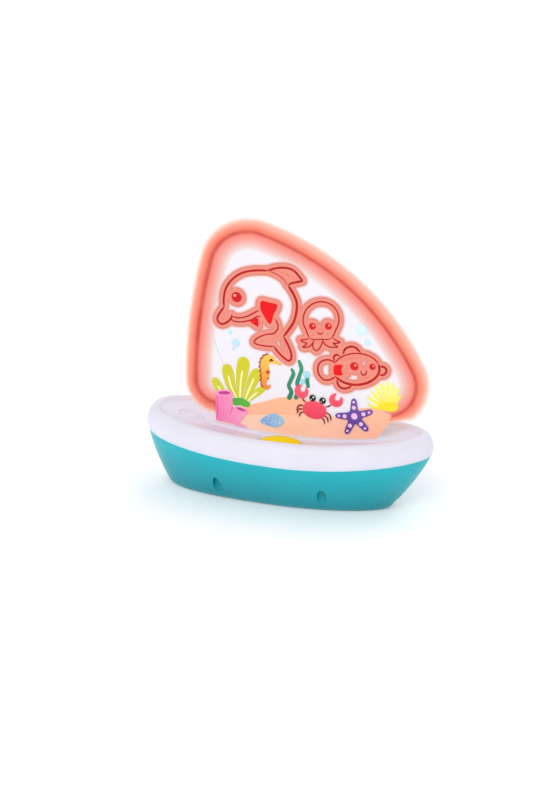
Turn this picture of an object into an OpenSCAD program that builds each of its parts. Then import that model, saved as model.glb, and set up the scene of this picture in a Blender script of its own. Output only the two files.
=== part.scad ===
// Light-up bath toy boat.
// +X is the bow, +Y is port, +Z is up. The origin is under the middle of the hull, on its flat bottom.

/* [Hull] */
// Length of the boat over the gunwale
hull_length = 240; // [230:1:250]
// Width of the boat over the gunwale
hull_beam = 94; // [92:1:98]
// Height of the seam between hull and deck, amidships
seam_z = 42; // [41:0.5:44]
// Height of the gunwale crown above the seam
gunwale_rise = 19; // [19:0.5:20]
// Extra height of the seam and gunwale at bow and stern
sheer = 7.8; // [6:0.2:9]
// Wall of the hull and of the deck
wall = 2.3; // [2:0.1:2.6]

/* [Deck] */
// Depth of the dished deck below its edge
dish_depth = 7.3; // [6.5:0.1:8]
// Height of the collar around the sail slot, above the dish
collar_h = 1.9; // [1.5:0.1:3]

/* [Sail] */
// Thickness of the clear panel
sail_t = 4; // [3.6:0.1:4]
// Width of the soft light-diffusing rim outside the panel
rim_w = 11; // [8:0.5:12]
// Thickness of the soft rim
rim_t = 7; // [6.5:0.1:8]
// Thickness of the printed film on the panel
print_t = 0.3; // [0.2:0.05:0.4]

/* [Button] */
// Length of the oval button
button_l = 35; // [33:0.5:36]
// Width of the oval button
button_w = 22; // [20:0.5:22]
// Travel of the button and of the switch under it
button_travel = 2; // [1:0.1:2]

/* [Battery bay] */
// Diameter of one AAA cell
cell_d = 10.5; // [10.5]
// Length of one AAA cell
cell_l = 44.5; // [44.5]
// Pitch between neighbouring cells
cell_pitch = 11.6; // [11.4:0.1:11.6]

/* [Hidden] */
$fn = 40;

eps = 0.01;
half_l = hull_length / 2;
half_b = hull_beam / 2;
crown_z = seam_z + gunwale_rise;

// ---- Plan shape: a superellipse, fuller at the stern than at the bow ----
around = 56;          // points around each ring
beam_station = 9;     // the widest section is this far forward of the middle
n_stern = 2.4;
n_bow = 1.8;

function power(v, e) = sign(v) * pow(abs(v), e);

// One point of the plan outline with half-length a and half-width b, at angle t
function plan_point(a, b, t) =
    let (n = cos(t) < 0 ? n_stern : n_bow,
         station = beam_station * a / half_l,
         half = cos(t) < 0 ? a + station : a - station)
    [station + half * power(cos(t), 2 / n), b * power(sin(t), 2 / n)];

function sheer_at(x) = sheer * pow(x / half_l, 2);

// A closed ring: half-length a, half-width b, height z, share k of the sheer, moved by shift along X
function ring(a, b, z, k = 1, shift = 0) =
    [for (i = [0 : around - 1])
        let (p = plan_point(a, b, 360 * i / around))
        [p.x + shift, p.y, z + k * sheer_at(p.x)]];

// A ring set in from the widest line
function inset_ring(inset, z) = ring(half_l - inset, half_b - inset, z);

function centre_of(points) =
    [for (axis = [0 : 2]) let (v = [for (p = points) p[axis]]) (max(v) + min(v)) / 2];

// Closed band through a list of rings, whose last ring joins the first one
module band(rings) {
    n = len(rings[0]);
    m = len(rings);
    sides = [for (i = [0 : m - 1], j = [0 : n - 1])
        let (k = (j + 1) % n, a = i * n, b = (i + 1) % m * n)
        each [[a + j, b + j, b + k], [a + j, b + k, a + k]]];
    polyhedron([for (r = rings) each r], sides, convexity = 8);
}

// Solid through a list of rings that ends in a fan at each end
module loft(rings) {
    n = len(rings[0]);
    m = len(rings);
    points = concat([for (r = rings) each r], [centre_of(rings[0]), centre_of(rings[m - 1])]);
    sides = [for (i = [0 : m - 2], j = [0 : n - 1])
        let (k = (j + 1) % n)
        each [[i * n + j, (i + 1) * n + j, (i + 1) * n + k], [i * n + j, (i + 1) * n + k, i * n + k]]];
    first = [for (j = [0 : n - 1]) [m * n, j, (j + 1) % n]];
    last = [for (j = [0 : n - 1]) [m * n + 1, (m - 1) * n + (j + 1) % n, (m - 1) * n + j]];
    polyhedron(points, concat(sides, first, last), convexity = 8);
}

// ---- Hull shell ----
seam_inset = 1.6;     // the seam is tucked in under the widest line
seal_t = 0.6;         // gap for the seal between hull and deck
flare_l = 24.4;       // how much shorter each end is at the bottom than at the seam
flare_b = 17.8;       // how much narrower each side is at the bottom than at the seam
flare_power = 1.24;
rake = 7.7;           // the bottom is moved this far aft
floor_t = 2.6;

// Ring of the outer hull at drop f, from 0 at the seam to 1 at the bottom, set in by extra
function hull_ring(f, extra = 0) =
    ring(half_l - seam_inset - flare_l * pow(f, flare_power) - extra,
         half_b - seam_inset - flare_b * pow(f, flare_power) - extra,
         (seam_z - seal_t) * (1 - f), 1 - f, -rake * f);

hull_outer = [
    hull_ring(1, 2.6), hull_ring(0.965, 0.7), hull_ring(0.9), hull_ring(0.78),
    hull_ring(0.62), hull_ring(0.45), hull_ring(0.28), hull_ring(0.12), hull_ring(0)
];
hull_inner = [
    hull_ring(0, wall), hull_ring(0.2, wall), hull_ring(0.45, wall), hull_ring(0.7, wall + 0.3),
    hull_ring(1 - floor_t / (seam_z - seal_t), wall + 1.5)
];

// ---- Deck shell ----
dish_inset = 12;      // the dish starts this far in from the widest line
dish_edge = 3;        // and this far below the crown
dish_a = half_l - dish_inset;
dish_b = half_b - dish_inset;

// Height of the dish at share s of its radius, before the sheer is added
function dish_level(s) = crown_z - dish_edge - dish_depth * (1 - s * s);
// Share of the dish's radius at which a point lies
function dish_share(x, y) =
    let (n = x < 0 ? n_stern : n_bow)
    pow(pow(abs(x) / dish_a, n) + pow(abs(y) / dish_b, n), 1 / n);
function dish_z(x, y) = dish_level(min(1, dish_share(x, y))) + sheer_at(x);
function dish_ring(s, drop = 0) = ring(dish_a * s, dish_b * s, dish_level(s) - drop);

deck_top = [
    inset_ring(seam_inset, seam_z), inset_ring(0.5, seam_z + 2.6), inset_ring(0, seam_z + 6),
    inset_ring(0.5, crown_z - 9), inset_ring(2, crown_z - 5), inset_ring(4.3, crown_z - 1.8),
    inset_ring(6.6, crown_z - 0.3), inset_ring(8.2, crown_z), inset_ring(10, crown_z - 0.8),
    dish_ring(1), dish_ring(0.88), dish_ring(0.74), dish_ring(0.58), dish_ring(0.4), dish_ring(0.18)
];
deck_under = [
    dish_ring(0.18, wall), dish_ring(0.45, wall), dish_ring(0.72, wall), dish_ring(0.96, wall),
    inset_ring(9.5, crown_z - 2.8), inset_ring(7.6, crown_z - 2.8), inset_ring(4.8, crown_z - 6),
    inset_ring(wall + 0.4, seam_z + 6), inset_ring(seam_inset + wall, seam_z)
];

// ---- Sail outline in the XZ plane: three round corners joined by bowed sides ----
// Each corner is [x, z, radius], in the order top, right, lower left
corners = [[-30.5, 185, 34], [78.5, 105.5, 27], [-60, 91, 18]];
// Radius of the bowed side that runs from each corner to the next one
bows = [200, 2000, 400];
arc_points = 22;

// Centre of the bowed side of radius r that wraps corners p and q
function bow_centre(p, q, r) =
    let (d = [q.x - p.x, q.y - p.y],
         l = norm(d),
         rp = r - p[2],
         rq = r - q[2],
         along = (rp * rp - rq * rq + l * l) / (2 * l),
         off = sqrt(rp * rp - along * along),
         u = d / l)
    [p.x + u.x * along + u.y * off, p.y + u.y * along - u.x * off];

function bow_centres() = [for (i = [0 : 2]) bow_centre(corners[i], corners[(i + 1) % 3], bows[i])];

function heading(from, to) = atan2(to.y - from.y, to.x - from.x);

// Arc that turns clockwise from angle a to angle b about c
function clockwise_arc(c, r, a, b, n) =
    let (turn = (a - b) - 360 * floor((a - b) / 360))
    [for (i = [0 : n]) [c.x + r * cos(a - turn * i / n), c.y + r * sin(a - turn * i / n)]];

// The whole outline, moved outward by d
function sail_outline(d = 0) =
    let (mids = bow_centres())
    [for (i = [0 : 2])
        let (c = corners[i],
             before = mids[(i + 2) % 3],
             after = mids[i],
             next = corners[(i + 1) % 3])
        each concat(
            clockwise_arc(c, c[2] + d, heading(before, c), heading(after, c), arc_points),
            clockwise_arc(after, bows[i] + d, heading(after, c), heading(after, next), arc_points))];

neck_left = -62;
neck_right = 75;
neck_tip = [86, 77];  // where the neck's right edge meets the right corner
tab_z = 37.2;         // bottom of the tab under the deck

// Top of the collar, which follows the dish along the boat
function collar_z(x) = dish_z(x, 0) + collar_h;

neck_outline = [
    [neck_left, tab_z], [neck_left, 80], [-40, 92], [60, 92], neck_tip,
    [neck_right, collar_z(neck_right)], [neck_right, tab_z]
];

// Extrude an XZ outline through thickness t, centred on Y = 0 unless a start is given
module upright(outline, t, y0 = undef) {
    translate([0, is_undef(y0) ? t / 2 : y0 + t, 0])
        rotate([90, 0, 0])
            linear_extrude(t) polygon(outline);
}

// ---- Shared places ----
side_screws = [[-50, -31.5], [-50, 31.5], [38, -31.5], [38, 31.5]];
end_screws = [[-100, 0], [91, 0]];
screw_places = concat(side_screws, end_screws);
root_gap = 1.7;       // posts under the deck end this far below its top
head_seat_z = 24;     // ceiling of the screw pockets
pad_top_z = 27;

button_y = -20;
button_edge_z = crown_z - 9.1;
button_dome = 5;
well_z = dish_z(0, -6.5) + 0.2;
well_floor_t = 2.2;

clamp_z = [38, 46.6];
clamp_outer = 7;      // outer face of each clamp bar, from the sail's middle plane
clamp_screw_x = [-46, -32.5, 33, 58];
clamp_screw_z = 42.3;
ear_x = [-54, 66];
ear_y = 11;

led_z = 34;
led_board_x = [-54, 67];
led_pitch = 20;

board_z = 30.2;
board_t = 1.6;
board_half_l = 29;
board_y = [-35, -7.5];
board_posts = [for (x = [-25.5, 25.5], y = [-31.5, -10.8]) [x, y]];
retainer_posts = [[-24.5, -21], [24.5, -21]];

bay_x = -6;           // middle of the battery bay
bay_half_l = 31;
bay_half_w = 20.5;
bay_top = 18;
pad_z = 4.4;
door_half_l = 37.5;
door_half_w = 19.5;
door_gap = 0.3;
door_screw_x = [bay_x - 34, bay_x + 34];
box_screw_places = [for (x = [-35.5, 35.5], y = [-12, 12]) [bay_x + x, y]];
cell_z = 10.1;

ballast = [[-66, 15, 11], [52, 9, 9]];   // [middle x, half-length, half-width] of each steel block
ballast_z = [3, 11];

// ---- Helpers ----
module post(place, r, z0, z1) {
    translate([place.x, place.y, z0]) cylinder(r = r, h = z1 - z0);
}

module block(x, y, z) {
    translate([x[0], y[0], z[0]]) cube([x[1] - x[0], y[1] - y[0], z[1] - z[0]]);
}

// Screw with a pan head under its seat at z and a shank that goes up
module screw_up(place, z, head_r, head_h, shank_r, shank_l) {
    difference() {
        post(place, head_r, z - head_h, z);
        translate([place.x - head_r / 2, place.y - 0.3, z - head_h - eps])
            cube([head_r, 0.6, 0.6]);
        translate([place.x - 0.3, place.y - head_r / 2, z - head_h - eps])
            cube([0.6, head_r, 0.6]);
    }
    post(place, shank_r, z, z + shank_l);
}

// The same screw upside down
module screw_down(place, z, head_r, head_h, shank_r, shank_l) {
    translate([0, 0, 2 * z]) mirror([0, 0, 1]) screw_up(place, z, head_r, head_h, shank_r, shank_l);
}

// Flat slab with round corners, centred on x
module slab(x, half_x, half_y, r, z0, z1) {
    translate([x, 0, z0]) linear_extrude(z1 - z0) {
        square([2 * half_x, 2 * (half_y - r)], center = true);
        square([2 * (half_x - r), 2 * half_y], center = true);
        for (sx = [-1, 1], sy = [-1, 1])
            translate([sx * (half_x - r), sy * (half_y - r)]) circle(r = r);
    }
}

function oval(rx, ry) = [for (i = [0 : 39]) [rx * cos(9 * i), ry * sin(9 * i)]];

// Upright oval column about the button's middle
module oval_column(rx, ry, z0, z1) {
    translate([0, button_y, z0]) linear_extrude(z1 - z0) polygon(oval(rx, ry));
}

// Half an ellipsoid on an oval foot, about the button's middle
module oval_dome(rx, ry, h, z0) {
    steps = 6;
    translate([0, button_y, 0])
        loft([for (i = [0 : steps])
            let (a = 84 * i / steps)
            [for (p = oval(rx * cos(a), ry * cos(a))) [p.x, p.y, z0 + h * sin(a) / sin(84)]]]);
}

// Round wire along a list of points
module wire(path, r) {
    n = len(path);
    sides = 8;
    loft([for (i = [0 : n - 1])
        let (d = path[min(n - 1, i + 1)] - path[max(0, i - 1)],
             t = d / norm(d),
             ref = abs(t.z) > 0.8 ? [1, 0, 0] : [0, 0, 1],
             u = cross(ref, t) / norm(cross(ref, t)),
             v = cross(t, u))
        [for (j = [0 : sides - 1])
            path[i] + r * (cos(360 * j / sides) * u + sin(360 * j / sides) * v)]]);
}

// Smooth curve through hand-placed points
function bend(a, b, c, d, t) =
    0.5 * (2 * b + (c - a) * t + (2 * a - 5 * b + 4 * c - d) * t * t + (3 * b - a - 3 * c + d) * t * t * t);
function smooth(p, steps = 4) =
    let (n = len(p))
    concat([for (i = [0 : n - 2], k = [0 : steps - 1])
        bend(p[max(0, i - 1)], p[i], p[i + 1], p[min(n - 1, i + 2)], k / steps)], [p[n - 1]]);

// ---- Hull and deck ----
module hull_solid() {
    loft(hull_outer);
}

module lower_hull() {
    color([0.07, 0.67, 0.72])
    difference() {
        union() {
            loft(concat(hull_outer, hull_inner));
            intersection() {
                hull_solid();
                union() {
                    for (p = screw_places) post(p, 5.6, 1, pad_top_z);
                    block([bay_x - 41, bay_x + 41], [-22.5, 22.5], [1, pad_z]);
                    for (x = door_screw_x) post([x, 0], 2.9, 1, 12);
                    for (p = box_screw_places) post(p, 3, 1, 9);
                }
            }
        }
        for (p = screw_places) {
            post(p, 3.8, -1, head_seat_z);
            post(p, 1.8, 20, pad_top_z + 1);
        }
        slab(bay_x, door_half_l + door_gap, door_half_w + door_gap, 5, -1, 2.4);
        slab(bay_x, 27, 17.6, 2, -1, pad_z + 1);
        for (x = door_screw_x) post([x, 0], 1.3, 0, 10.5);
        for (p = box_screw_places) post(p, 1.25, 3.6, 10);
    }
}

module deck_shell() {
    color([0.94, 0.93, 0.96])
    difference() {
        union() {
            loft(concat(deck_under, deck_top));
            collar();
            for (p = screw_places) post(p, 3.5, pad_top_z + 0.2, dish_z(p.x, p.y) - root_gap);
            for (p = retainer_posts) post(p, 2.8, 43.7, dish_z(p.x, p.y) - root_gap);
            for (p = board_posts) post(p, 2.8, board_z + board_t, dish_z(p.x, p.y) - root_gap);
            for (x = ear_x, s = [-1, 1]) post([x, s * ear_y], 3, clamp_z[1], dish_z(x, ear_y) - root_gap);
            oval_column(button_l / 2 + 3.4, button_w / 2 + 3.4, well_z - well_floor_t, well_z + 0.6);
        }
        oval_column(button_l / 2 + 1.6, button_w / 2 + 1.6, well_z, crown_z);
        oval_column(button_l / 2 + 0.35, button_w / 2 + 0.35, 40, crown_z);
        oval_column(button_l / 2 + 2.6, button_w / 2 + 2.6, 46, well_z - well_floor_t);
        block([neck_left - 1, neck_right + 1], [-sail_t / 2 - 0.9, sail_t / 2 + 0.9], [40, crown_z + 5]);
        for (p = screw_places) post(p, 1.55, pad_top_z, 44);
        for (p = board_posts) post(p, 1.05, board_z, 40);
        for (p = retainer_posts) post(p, 1.05, 43, 50);
        for (x = ear_x, s = [-1, 1]) post([x, s * ear_y], 1.3, 46, 52.5);
    }
}

// Raised lip around the sail slot, with its walls carried down below the deck
module collar() {
    half_w = 5.6;
    ends = [neck_left - 4, neck_right + 4];
    top = [for (i = [0 : 20]) let (x = ends[0] + (ends[1] - ends[0]) * i / 20) [x, collar_z(x)]];
    intersection() {
        upright(concat([[ends[0], 47]], top, [[ends[1], 47]]), 2 * half_w);
        translate([(ends[0] + ends[1]) / 2, 0, 0])
            slab(0, (ends[1] - ends[0]) / 2, half_w, half_w - 0.2, 40, crown_z + 5);
    }
}

module hull_seal() {
    edges = [seam_inset + 0.15, seam_inset + wall - 0.2];
    z = [seam_z - seal_t + 0.05, seam_z - 0.05];
    color([0.85, 0.95, 0.97])
    band([inset_ring(edges[0], z[0]), inset_ring(edges[0], z[1]),
          inset_ring(edges[1], z[1]), inset_ring(edges[1], z[0])]);
}

module hull_screws() {
    color([0.75, 0.76, 0.78])
    for (p = screw_places) screw_up(p, head_seat_z, 2.9, 2, 1.5, 19);
}

// ---- Sail ----
module sail_panel() {
    color([0.97, 0.96, 1, 0.5])
    difference() {
        union() {
            upright(sail_outline(), sail_t);
            upright(neck_outline, sail_t);
        }
        for (x = clamp_screw_x)
            translate([x, 5, clamp_screw_z]) rotate([90, 0, 0]) cylinder(r = 1.4, h = 10);
    }
}

module sail_rim() {
    neck_gap = 0.3;
    color([1, 0.5, 0.42, 0.7])
    difference() {
        upright(sail_outline(rim_w), rim_t);
        upright(sail_outline(-1.5), rim_t + 2);
        upright(sail_outline(0.05), sail_t + 0.1);
        upright([[neck_left - neck_gap, 40], [neck_left - neck_gap, 84], [-45, 95], [70, 95],
                 neck_tip + [neck_gap, 0], [neck_right + neck_gap, 58], [64, 40]], rim_t + 2);
    }
}

// Printed sea bed on both faces, from the collar to the top of the sand
module sea_bed_print() {
    sand_top = [[neck_left + 1, 72], [-35, 77], [-5, 86], [20, 87], [50, 82], [70, 84], [80, 81.5]];
    base = [for (i = [0 : 12])
        let (x = 74.5 + (neck_left + 1 - 74.5) * i / 12) [x, collar_z(x) + 0.3]];
    color([1, 0.8, 0.66])
    for (y0 = [-sail_t / 2 - print_t - 0.02, sail_t / 2 + 0.02])
        upright(concat(smooth(sand_top, 3), [[83.5, 76]], base), print_t, y0);
}

module slot_gasket() {
    color([0.95, 0.85, 0.9])
    difference() {
        upright(concat([[neck_left - 0.9, 47.2]],
                       [for (i = [0 : 12])
                           let (x = neck_left - 0.9 + (neck_right - neck_left + 1.8) * i / 12)
                           [x, collar_z(x) - 0.4]],
                       [[neck_right + 0.9, 47.2]]), sail_t + 1.7);
        block([neck_left - 0.05, neck_right + 0.05], [-sail_t / 2 - 0.05, sail_t / 2 + 0.05], [40, 70]);
    }
}

// Clamp bar on one side of the tab; side is -1 in front and 1 behind
module sail_clamp(side, hole_r) {
    inner = sail_t / 2 + 0.15;
    y = side < 0 ? [-clamp_outer, -inner] : [inner, clamp_outer];
    ear = side < 0 ? [-ear_y - 3, -clamp_outer + eps] : [clamp_outer - eps, ear_y + 3];
    color([0.9, 0.9, 0.92])
    difference() {
        union() {
            block([neck_left + 2, neck_right - 2], y, clamp_z);
            for (x = ear_x) block([x - 3.2, x + 3.2], ear, [clamp_z[1] - 3, clamp_z[1] - 0.1]);
        }
        for (x = clamp_screw_x)
            translate([x, 12, clamp_screw_z]) rotate([90, 0, 0]) cylinder(r = hole_r, h = 24);
        for (x = ear_x) post([x, side * ear_y], 1.4, 40, 50);
        for (x = [led_board_x[0] + 4, led_board_x[1] - 4]) post([x, side * 4], 0.85, 37, 42);
    }
}

module sail_clamp_front() {
    sail_clamp(-1, 1.4);
}

module sail_clamp_rear() {
    sail_clamp(1, 1.3);
}

module clamp_screws() {
    color([0.75, 0.76, 0.78]) {
        for (x = clamp_screw_x)
            translate([x, -clamp_outer - 0.05, clamp_screw_z])
                rotate([-90, 0, 0]) screw_up([0, 0], 0, 2.4, 1.8, 1.25, 13);
        for (x = ear_x, s = [-1, 1]) screw_up([x, s * ear_y], clamp_z[1] - 3.05, 2.4, 1.8, 1.25, 8);
    }
}

// ---- Light strip under the tab ----
module led_board() {
    color([0.1, 0.45, 0.25])
    difference() {
        block(led_board_x, [-6, 6], [led_z, led_z + 1.2]);
        for (x = [led_board_x[0] + 4, led_board_x[1] - 4], s = [-1, 1]) post([x, s * 4], 1.05, 30, 40);
    }
}

module leds() {
    color([1, 0.35, 0.3])
    for (x = [led_board_x[0] + 10 : led_pitch : led_board_x[1] - 6])
        block([x - 1.6, x + 1.6], [-1.4, 1.4], [led_z + 1.25, led_z + 2.9]);
}

// Four screws with spacers that hang the board from the clamps
module led_board_screws() {
    color([0.75, 0.76, 0.78])
    for (x = [led_board_x[0] + 4, led_board_x[1] - 4], s = [-1, 1]) {
        screw_up([x, s * 4], led_z - 0.05, 1.7, 1.2, 0.8, 7.2);
        difference() {
            post([x, s * 4], 1.7, led_z + 1.25, clamp_z[0] - 0.05);
            post([x, s * 4], 0.85, led_z, clamp_z[0] + 1);
        }
    }
}

// ---- Control board and switch ----
module control_board() {
    color([0.1, 0.45, 0.25])
    difference() {
        block([-board_half_l, board_half_l], board_y, [board_z, board_z + board_t - 0.05]);
        for (p = board_posts) post(p, 1.1, 25, 35);
    }
}

module board_components() {
    top = board_z + board_t;
    color([0.15, 0.15, 0.17]) {
        block([9, 17], [-30, -22], [top, top + 1.4]);
        block([8, 12], [-17, -12], [top, top + 1]);
        post([-14, -28], 2.5, top, top + 5.5);
        post([-14, -18], 2, top, top + 0.9);
        for (i = [0 : 3]) block([-21 + 3 * i, -19.4 + 3 * i], [-12.5, -11.7], [top, top + 0.5]);
        difference() {
            post([4, -21], 9, board_z - 4.2, board_z - 0.05);
            post([4, -21], 5, board_z - 5, board_z - 3.4);
        }
    }
}

module board_screws() {
    color([0.75, 0.76, 0.78])
    for (p = board_posts) screw_up(p, board_z - 0.05, 2, 1.3, 1, 8);
}

switch_top = 37.2;
plunger = [34.4, 39.2];
module switch_body() {
    color([0.2, 0.2, 0.22])
    difference() {
        block([-4, 4], [button_y - 4, button_y + 4], [board_z + board_t, switch_top]);
        post([0, button_y], 1.55, plunger[0] - button_travel - 0.2, switch_top + 1);
    }
}

module switch_plunger() {
    color([0.95, 0.95, 0.95])
    post([0, button_y], 1.5, plunger[0], plunger[1]);
}

// ---- Push button ----
flange_z = [46.4, 48];
module button_cap() {
    rx = button_l / 2;
    ry = button_w / 2;
    color([1, 0.83, 0.1]) {
        difference() {
            union() {
                oval_column(rx, ry, flange_z[0], button_edge_z);
                oval_dome(rx, ry, button_dome, button_edge_z - eps);
                oval_column(rx + 1.4, ry + 1.4, flange_z[0], flange_z[1]);
            }
            oval_column(rx - 2, ry - 2, flange_z[0] - 1, button_edge_z - 1);
            oval_dome(rx - 2, ry - 2, button_dome - 1.2, button_edge_z - 1 - eps);
        }
        post([0, button_y], 3, plunger[1] + 0.2, button_edge_z + button_dome - 1);
    }
}

module button_seal() {
    color([0.9, 0.9, 0.92])
    difference() {
        oval_column(button_l / 2 + 2.4, button_w / 2 + 2.4, flange_z[1] + 0.2, well_z - well_floor_t - 0.02);
        oval_column(button_l / 2 + 0.45, button_w / 2 + 0.45, 40, 60);
    }
}

spring_z = [43.65, 50.6];
module button_spring() {
    coil_r = 5;
    wire_r = 0.4;
    turns = 4;
    steps = 13;
    color([0.8, 0.8, 0.82])
    wire([for (i = [0 : turns * steps])
        [coil_r * cos(360 * i / steps), button_y + coil_r * sin(360 * i / steps),
         spring_z[0] + wire_r + (spring_z[1] - spring_z[0] - 2 * wire_r) * i / (turns * steps)]], wire_r);
}

// Guide plate under the button, screwed to two posts of the deck
module button_retainer() {
    z = [42, 43.6];
    color([0.9, 0.9, 0.92])
    difference() {
        union() {
            block([-19, 19], [-32, -10.2], z);
            block([-27.5, 27.5], [-24, -18], z);
            post([0, button_y], 4.2, 40, z[1]);
        }
        post([0, button_y], 3.05, 38, 45);
        for (p = retainer_posts) post(p, 1.15, 40, 45);
    }
}

module retainer_screws() {
    color([0.75, 0.76, 0.78])
    for (p = retainer_posts) screw_up(p, 41.95, 2, 1.3, 1, 7);
}

// ---- Batteries ----
module battery_box() {
    color([0.92, 0.92, 0.94])
    difference() {
        union() {
            slab(bay_x, bay_half_l, bay_half_w, 2, pad_z + 0.05, bay_top);
            for (p = box_screw_places) block([p.x - 4.5, p.x + 4.5], [p.y - 4, p.y + 4], [9.05, 11]);
        }
        block([bay_x - bay_half_l + 1.8, bay_x + bay_half_l - 1.8],
              [-bay_half_w + 1.8, bay_half_w - 1.8], [0, bay_top - 1.8]);
        for (p = box_screw_places) post(p, 1.4, 5, 15);
    }
}

module box_screws() {
    color([0.75, 0.76, 0.78])
    for (p = box_screw_places) screw_down(p, 11.05, 2.2, 1.5, 1.2, 7);
}

module batteries() {
    nub = 1;
    for (i = [-1 : 1])
        translate([bay_x, i * cell_pitch, cell_z]) rotate([0, i == 0 ? -90 : 90, 0]) {
            color([0.35, 0.45, 0.55]) translate([0, 0, -cell_l / 2]) cylinder(d = cell_d, h = cell_l - nub);
            color([0.8, 0.8, 0.8]) cylinder(d = 3.8, h = cell_l / 2);
        }
}

// Spring steel plates at both ends of the cells
module battery_contacts() {
    plate_t = 0.4;
    color([0.85, 0.85, 0.8])
    for (s = [-1, 1], i = [-1 : 1])
        block([bay_x + s * 28.9 - plate_t / 2, bay_x + s * 28.9 + plate_t / 2],
              [i * cell_pitch - 4.2, i * cell_pitch + 4.2], [cell_z - 4.6, cell_z + 4.6]);
}

// One conical spring on the minus end of each cell, as rings of wire
module battery_springs() {
    wire_r = 0.35;
    gap = 28.7 - cell_l / 2;
    color([0.85, 0.85, 0.8])
    for (i = [-1 : 1])
        let (s = i == 0 ? 1 : -1)
        translate([bay_x, i * cell_pitch, cell_z])
            rotate([0, s * 90, 0]) translate([0, 0, cell_l / 2])
                wire([for (k = [0 : 36])
                    let (r = 1.8 + 2 * k / 36)
                    [r * cos(30 * k), r * sin(30 * k), wire_r + 0.05 + (gap - 2 * wire_r - 0.1) * k / 36]],
                    wire_r);
}

module battery_door() {
    color([0.06, 0.6, 0.65])
    difference() {
        union() {
            slab(bay_x, door_half_l, door_half_w, 4.7, 0.3, 2.2);
            slab(bay_x, 26.6, 17.2, 1.8, 2, 3.8);
        }
        difference() {
            slab(bay_x, 29.5, 19, 3, 1.3, 3);
            slab(bay_x, 27.4, 17.9, 2, 1, 3.5);
        }
        for (x = door_screw_x) {
            post([x, 0], 1.5, -1, 5);
            post([x, 0], 2.6, -1, 1.3);
        }
        for (i = [-2 : 2]) block([bay_x + 4 * i - 0.8, bay_x + 4 * i + 0.8], [-12, 12], [0, 0.7]);
    }
}

module door_gasket() {
    color([0.2, 0.2, 0.22])
    difference() {
        slab(bay_x, 29.4, 18.9, 2.9, 1.35, 2.3);
        slab(bay_x, 27.5, 18, 2, 1, 3);
    }
}

module door_screws() {
    color([0.75, 0.76, 0.78])
    for (x = door_screw_x) screw_up([x, 0], 1.25, 2.4, 0.85, 1.25, 8);
}

// ---- Ballast ----
module ballast_weights() {
    color([0.5, 0.5, 0.52])
    for (b = ballast)
        difference() {
            block([b[0] - b[1], b[0] + b[1]], [-b[2], b[2]], ballast_z);
            for (s = [-1, 1]) post([b[0] + s * (b[1] - 4), 0], 1.4, 0, 20);
        }
}

module ballast_screws() {
    color([0.75, 0.76, 0.78])
    for (b = ballast, s = [-1, 1])
        screw_down([b[0] + s * (b[1] - 4), 0], ballast_z[1] + 0.05, 2.4, 1.6, 1.2, 7.8);
}

// ---- Leads ----
battery_route = [
    [13, 5, 18.1], [14, 4, 21], [17, 0, 24], [21, -6, 26], [24, -14, 27], [24, -16, 28.6], [24, -16, 30]
];
led_route = [
    [-16, -14, 31.95], [-16, -14, 32.8], [-16.5, -10, 33.2], [-18, -5, 32.4], [-18, -3, 33], [-18, -3, 33.85]
];
lead_gap = 1.6;

module battery_lead() {
    for (i = [0 : 1])
        color(i == 0 ? [0.8, 0.1, 0.1] : [0.1, 0.1, 0.1])
            wire(smooth([for (p = battery_route) p - [i * lead_gap, 0, 0]]), 0.6);
}

module led_lead() {
    for (i = [0 : 2])
        color([[0.8, 0.1, 0.1], [0.1, 0.1, 0.1], [0.9, 0.9, 0.9]][i])
            wire(smooth([for (p = led_route) p - [i * lead_gap, 0, 0]], 3), 0.5);
}

lower_hull();
deck_shell();
hull_seal();
hull_screws();
sail_panel();
sail_rim();
sea_bed_print();
slot_gasket();
sail_clamp_front();
sail_clamp_rear();
clamp_screws();
led_board();
leds();
led_board_screws();
control_board();
board_components();
board_screws();
switch_body();
switch_plunger();
button_cap();
button_seal();
button_spring();
button_retainer();
retainer_screws();
battery_box();
box_screws();
batteries();
battery_contacts();
battery_springs();
battery_door();
door_gasket();
door_screws();
ballast_weights();
ballast_screws();
battery_lead();
led_lead();
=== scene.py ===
import math

import bmesh
import bpy
import numpy as np
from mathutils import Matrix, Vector
from mathutils.geometry import delaunay_2d_cdt


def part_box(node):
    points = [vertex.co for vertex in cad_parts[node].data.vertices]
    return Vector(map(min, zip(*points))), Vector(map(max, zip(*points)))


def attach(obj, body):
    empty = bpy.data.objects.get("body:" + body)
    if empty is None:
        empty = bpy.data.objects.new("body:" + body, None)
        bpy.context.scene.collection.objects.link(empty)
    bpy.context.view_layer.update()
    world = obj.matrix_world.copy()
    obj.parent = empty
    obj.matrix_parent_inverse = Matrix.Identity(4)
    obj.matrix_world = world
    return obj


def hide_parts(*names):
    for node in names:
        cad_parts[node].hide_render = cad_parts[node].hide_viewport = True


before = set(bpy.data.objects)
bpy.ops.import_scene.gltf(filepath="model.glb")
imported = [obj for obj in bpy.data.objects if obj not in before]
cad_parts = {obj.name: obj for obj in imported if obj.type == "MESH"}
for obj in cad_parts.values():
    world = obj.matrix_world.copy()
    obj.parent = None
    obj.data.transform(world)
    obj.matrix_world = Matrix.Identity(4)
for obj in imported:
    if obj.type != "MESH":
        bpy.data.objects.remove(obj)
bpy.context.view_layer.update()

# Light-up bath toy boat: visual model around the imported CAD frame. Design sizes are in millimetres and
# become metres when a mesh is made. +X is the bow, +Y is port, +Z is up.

MM = 0.001

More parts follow.
